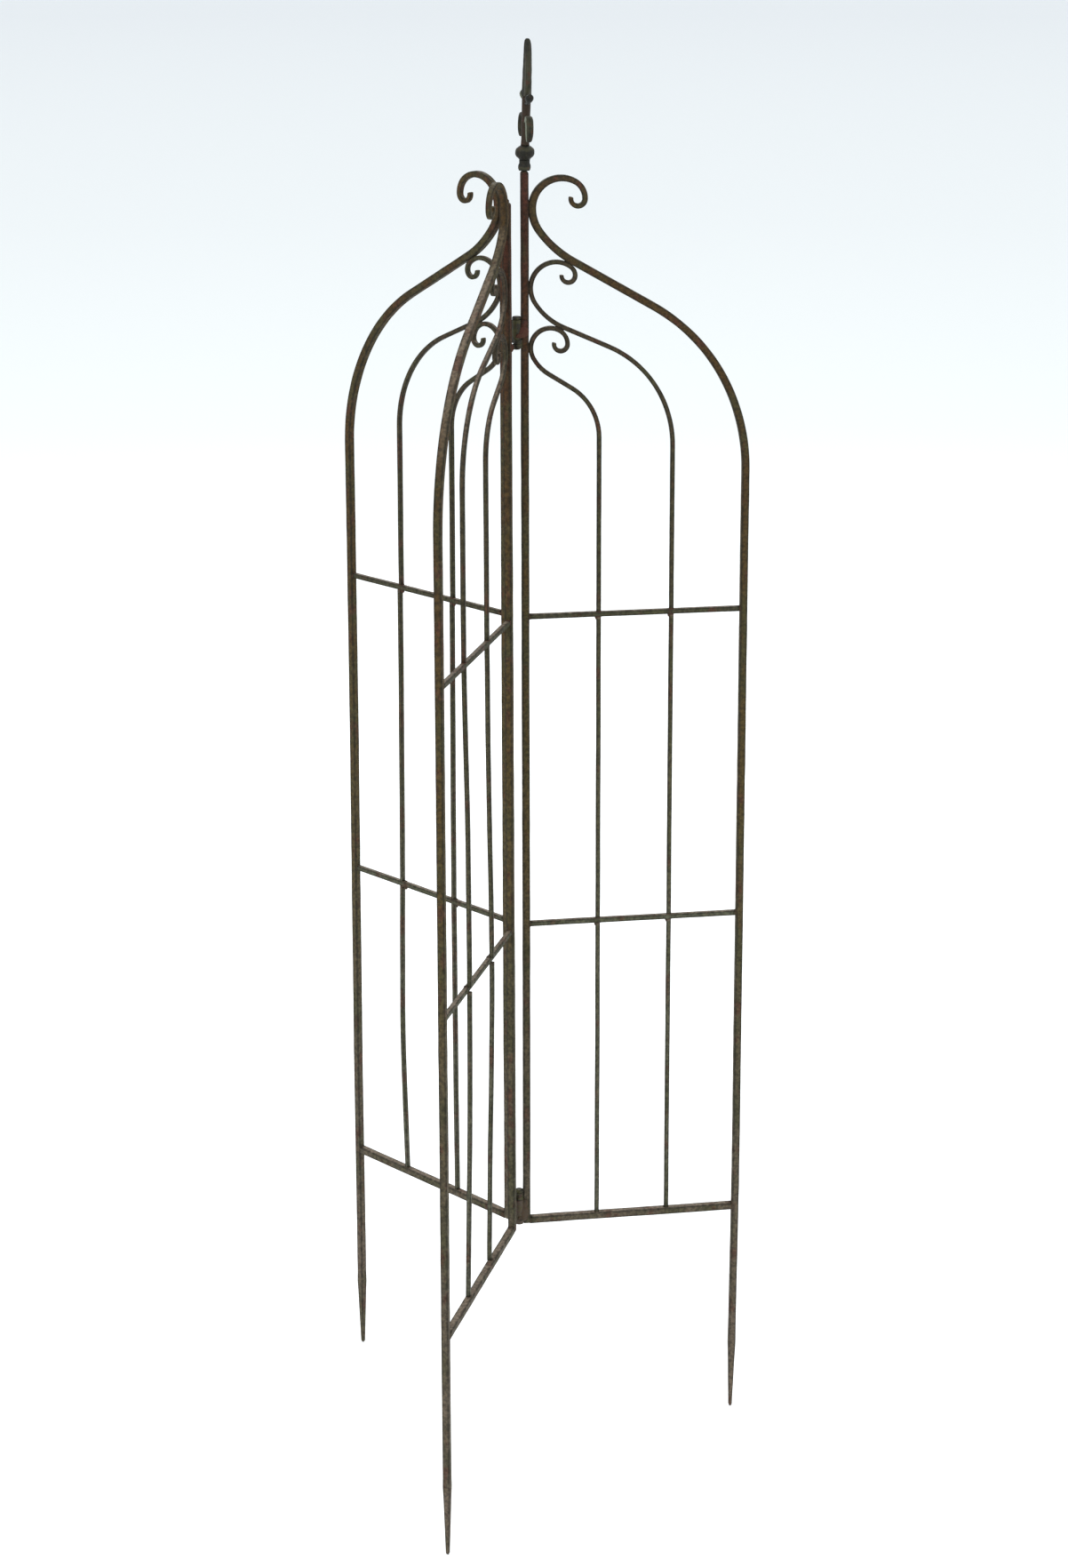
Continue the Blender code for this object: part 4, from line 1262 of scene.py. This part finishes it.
class TRELLIS_OT_finial(bpy.types.Operator):
    """Builds the cast spear finial: collar, knop, stem, blade, two leaves and two buds"""

    bl_idname = "trellis.finial"
    bl_label = "Finial"

    look = ("sand_cast_iron", "wing_a", "finial_casting")

    def execute(self, context):
        self.round_parts()
        self.blade()
        for side, name in ((1.0, "left"), (-1.0, "right")):
            self.leaf(f"finial_leaf_{name}", side)
            self.bud(f"finial_bud_{name}", side)
        return {"FINISHED"}

    def cast_round(self, name, shape, shade, rust=0.0):
        """A round casting from its (share of radius, share of height) outline, top first."""
        low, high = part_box(name)
        middle = centre(name)
        radius = (high.x - low.x) / 2
        tall = high.z - low.z
        curve = smooth_profile([(r * radius, h * tall) for r, h in shape])
        curve = [(min(r, radius), min(max(h, 0.0), tall)) for r, h in curve]
        profile = [(0.0, tall), *curve, (0.0, 0.0)]
        dark = [shade(r / radius, h / tall) for r, h in profile]
        place = Vector((middle.x + lean_at(low.z), middle.y, low.z))
        turned(name, profile, place, *self.look, (name,), edges=dark, lean=FINIAL_LEAN,
               rust=rust)

    def round_parts(self):
        """The rolled collar over the post, the flattened knop on it and the lumpy neck."""
        # The edge value is painted shade: the collar and knop are dark but for a lighter band at
        # the given height, a painted highlight, and the stem darkens where it narrows.
        for name, light, shape in (("finial_collar", 0.25, COLLAR_SHAPE),
                                   ("finial_knop", 0.80, KNOP_SHAPE)):
            self.cast_round(name, shape, lambda _, h, light=light:
                            1.0 - 0.9 * max(0.0, 1.0 - abs(h - light) / 0.22))
        self.cast_round("finial_stem", STEM_SHAPE, lambda r, _: 1.8 * (1.0 - r), rust=1.0)

    def loft(self, name, sections, replaced):
        """A casting lofted through sections, each a list of (x, y, z, edge, rim) points."""
        vertices, dark, rims = [], [], []
        around = len(sections[0])
        for section in sections:
            for x, y, z, edge, rim in section:
                vertices.append(Vector((x, y, z)))
                dark.append(edge)
                rims.append(rim)
        faces = tube_faces(len(sections), around)
        return finish_piece(name, (vertices, faces), {"edge": dark, "rim": rims}, *self.look,
                            replaced)

    def blade(self):
        """The flat spear blade with a raised midrib on both faces."""
        low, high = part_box("finial_blade")
        middle = centre("finial_blade")
        thick, wide, tall = high.x - low.x, high.y - low.y, high.z - low.z
        sections = []
        for share, width, depth in smooth_profile(BLADE_OUTLINE, 40):
            half_x, half_y = thick / 2 * depth, wide / 2 * width
            section = []
            for x, y, edge in BLADE_SECTION:
                z = low.z + (tall + BLADE_OVER) * min(max(share, 0.0), 1.0)
                rough = 1.0 + CAST_ROUGH * noise.noise(Vector((x * 2.0, y * 2.0, z * 160.0)))
                lean = lean_at(z) - BLADE_TIP_BEND * share ** 6
                dark = max(edge, 1.4 * share - 0.55)
                section.append((middle.x + lean + x * half_x * min(rough, 1.02),
                                middle.y + y * half_y * rough, z, dark, 0.0))
            sections.append(section)
        self.loft("finial_blade", sections, ("finial_blade",))

    def beside_stem(self, name, side, path, count, deep, rim, dark):
        """A leaf or bud along a path of (share of reach, share of height, scale)."""
        low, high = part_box(name)
        stem = centre("finial_stem")
        reach = (high.y if side > 0 else -low.y) - side * stem.y
        start = path[0]
        root = (start[0] * extent("finial_stem").x / 2, *start[1:])
        places = [root] + [(share * reach, *rest) for share, *rest in path[1:]]
        self.swept(name, smooth_profile(places, count), side, stem, low.z, high.z - low.z,
                   high.x - low.x, deep, rim, dark)

    def leaf(self, name, side):
        """A drooping leaf: it springs from the stem, turns over and curls in at its tip."""
        # The rim value is a painted highlight: full on the right leaf, a little on the left.
        self.beside_stem(name, side, LEAF_PATH, 30, LEAF_DEPTH, 1.0 if side < 0 else 0.25, 0.0)

    def bud(self, name, side):
        """A bud on a short stalk below the blade, swelling and closing to a point."""
        # A painted highlight on the left bud, and painted shade on the right one.
        self.beside_stem(name, side, BUD_PATH, 26, extent(name).x * BUD_DEPTH,
                         0.8 if side > 0 else 0.0, 0.0 if side > 0 else 0.8)

    def swept(self, name, path, side, stem, floor, tall, thick, deep, rim, dark):
        """An oval, ridged section carried along a path of (reach, height share, scale)."""
        sections = []
        places = [(reach, floor + share * tall) for reach, share, _ in path]
        around = SWEPT_SIDES
        for index, (reach, height) in enumerate(places):
            before = places[max(index - 1, 0)]
            after = places[min(index + 1, len(places) - 1)]
            heading = math.atan2(after[1] - before[1], after[0] - before[0])
            out = (-math.sin(heading), math.cos(heading))
            scale = path[index][2]
            section = []
            for step in range(around):
                turn = math.tau * step / around
                wide = math.cos(turn) * thick / 2 * scale
                # A painted highlight along one face of the section, as strong as the rim value.
                painted_glint = rim * max(0.0, min(1.0, (-math.cos(turn) - 0.55) / 0.35))
                if side < 0 and wide < 0:
                    wide *= REAR_FULLNESS
                groove = 1.0 - GROOVE * math.exp(-(math.cos(turn) / 0.30) ** 2)
                up = math.sin(turn) * deep / 2 * scale * groove
                rough = 1.0 + CAST_ROUGH * noise.noise(
                    Vector((step * 0.9, index * 0.35, side)))
                lean = lean_at(height)
                # The edge value is painted shade in the groove and towards the section's sides,
                # plus the given dark.
                section.append((stem.x + lean + wide * min(rough, 1.0),
                                stem.y + side * (reach + out[0] * up * rough),
                                height + out[1] * up * rough,
                                0.7 * (1.0 - groove) / GROOVE + 0.6 * abs(math.cos(turn)) + dark,
                                painted_glint))
            sections.append(section)
        self.loft(name, sections, (name,))


# ---------------------------------------------------------------- stage


FLOOR_RADIUS = 90.0
FLOOR_GAP = 0.0005
SKY = "#fbfdff"
SKY_STRENGTH = 1.02

# Soft lamps as (name, place, size, power)
LAMPS = (("key_softbox", (-2.6, -3.0, 3.6), 2.4, 90.0),
         ("fill_softbox", (3.2, -1.2, 2.8), 2.2, 40.0),
         ("back_softbox", (0.4, 3.4, 3.2), 2.6, 45.0))
LAMP_TARGET = Vector((0.0, 0.0, 0.8))

CAMERA_PLACE = (-0.4267, -2.8365, 1.8606)
LOOK_DOWN = 15.489
LOOK_RIGHT = 7.993
LENS = 62.03
SHIFT_Y = -0.1315


class TRELLIS_OT_stage(bpy.types.Operator):
    """Sets the pale floor, the soft lights and the camera"""

    bl_idname = "trellis.stage"
    bl_label = "Stage"

    def execute(self, context):
        scene = context.scene
        scene.view_settings.view_transform = "Standard"
        floor = self.floor()
        self.lights(scene)
        self.camera(scene)
        return {"FINISHED"}

    def floor(self):
        """A wide disc just under the spikes."""
        mesh = bpy.data.meshes.new("pale_floor")
        disc = bmesh.new()
        bmesh.ops.create_circle(disc, cap_ends=True, segments=96, radius=FLOOR_RADIUS)
        disc.to_mesh(mesh)
        disc.free()
        mesh.materials.append(material_of("matt_white_floor"))
        floor = bpy.data.objects.new("pale_floor", mesh)
        floor.location.z = CAD_BOX[0].z - FLOOR_GAP
        bpy.context.scene.collection.objects.link(floor)
        return floor

    def lights(self, scene):
        """An even pale sky with two large soft lamps."""
        world = bpy.data.worlds.new("studio_sky")
        world.use_nodes = True
        sky = world.node_tree.nodes["Background"]
        sky.inputs["Color"].default_value = linear(SKY)
        sky.inputs["Strength"].default_value = SKY_STRENGTH
        scene.world = world
        for name, place, size, power in LAMPS:
            data = bpy.data.lights.new(name, "AREA")
            data.shape = "SQUARE"
            data.size = size
            data.energy = power
            lamp = bpy.data.objects.new(name, data)
            lamp.location = place
            target = LAMP_TARGET - lamp.location
            lamp.rotation_euler = target.to_track_quat("-Z", "Y").to_euler()
            scene.collection.objects.link(lamp)

    def camera(self, scene):
        """A camera above head height, turned a little to the right and tilted down."""
        data = bpy.data.cameras.new("camera")
        data.sensor_width = 36.0
        data.lens = LENS
        data.shift_y = SHIFT_Y
        data.clip_end = 300.0
        camera = bpy.data.objects.new("camera", data)
        camera.location = CAMERA_PLACE
        camera.rotation_euler = (math.radians(90.0 - LOOK_DOWN), 0.0, math.radians(-LOOK_RIGHT))
        scene.collection.objects.link(camera)
        scene.camera = camera


OPERATORS = (TRELLIS_OT_frame_bars, TRELLIS_OT_rails, TRELLIS_OT_rods, TRELLIS_OT_weld_beads,
             TRELLIS_OT_hinges, TRELLIS_OT_finial, TRELLIS_OT_stage)


class TRELLIS_PT_sidebar(bpy.types.Panel):
    """Lists the trellis's sizes, colours and building steps"""

    bl_idname = "TRELLIS_PT_sidebar"
    bl_label = "Trellis"
    bl_space_type = "VIEW_3D"
    bl_region_type = "UI"
    bl_category = "Trellis"

    def draw(self, context):
        for group in (context.scene.trellis_sizes, context.scene.trellis_colours):
            box = self.layout.box()
            for name in group.__annotations__:
                box.prop(group, name)
        for operator in OPERATORS:
            self.layout.operator(operator.bl_idname)


CLASSES = (TrellisSizes, TrellisColours, *OPERATORS, TRELLIS_PT_sidebar)


def register():
    for entry in CLASSES:
        bpy.utils.register_class(entry)
    bpy.types.Scene.trellis_sizes = bpy.props.PointerProperty(type=TrellisSizes)
    bpy.types.Scene.trellis_colours = bpy.props.PointerProperty(type=TrellisColours)


def unregister():
    del bpy.types.Scene.trellis_colours
    del bpy.types.Scene.trellis_sizes
    for entry in reversed(CLASSES):
        bpy.utils.unregister_class(entry)


def main():
    """Builds everything in order."""
    register()
    for operator in OPERATORS:
        group, call = operator.bl_idname.split(".")
        getattr(getattr(bpy.ops, group), call)()


if __name__ == "__main__":
    main()
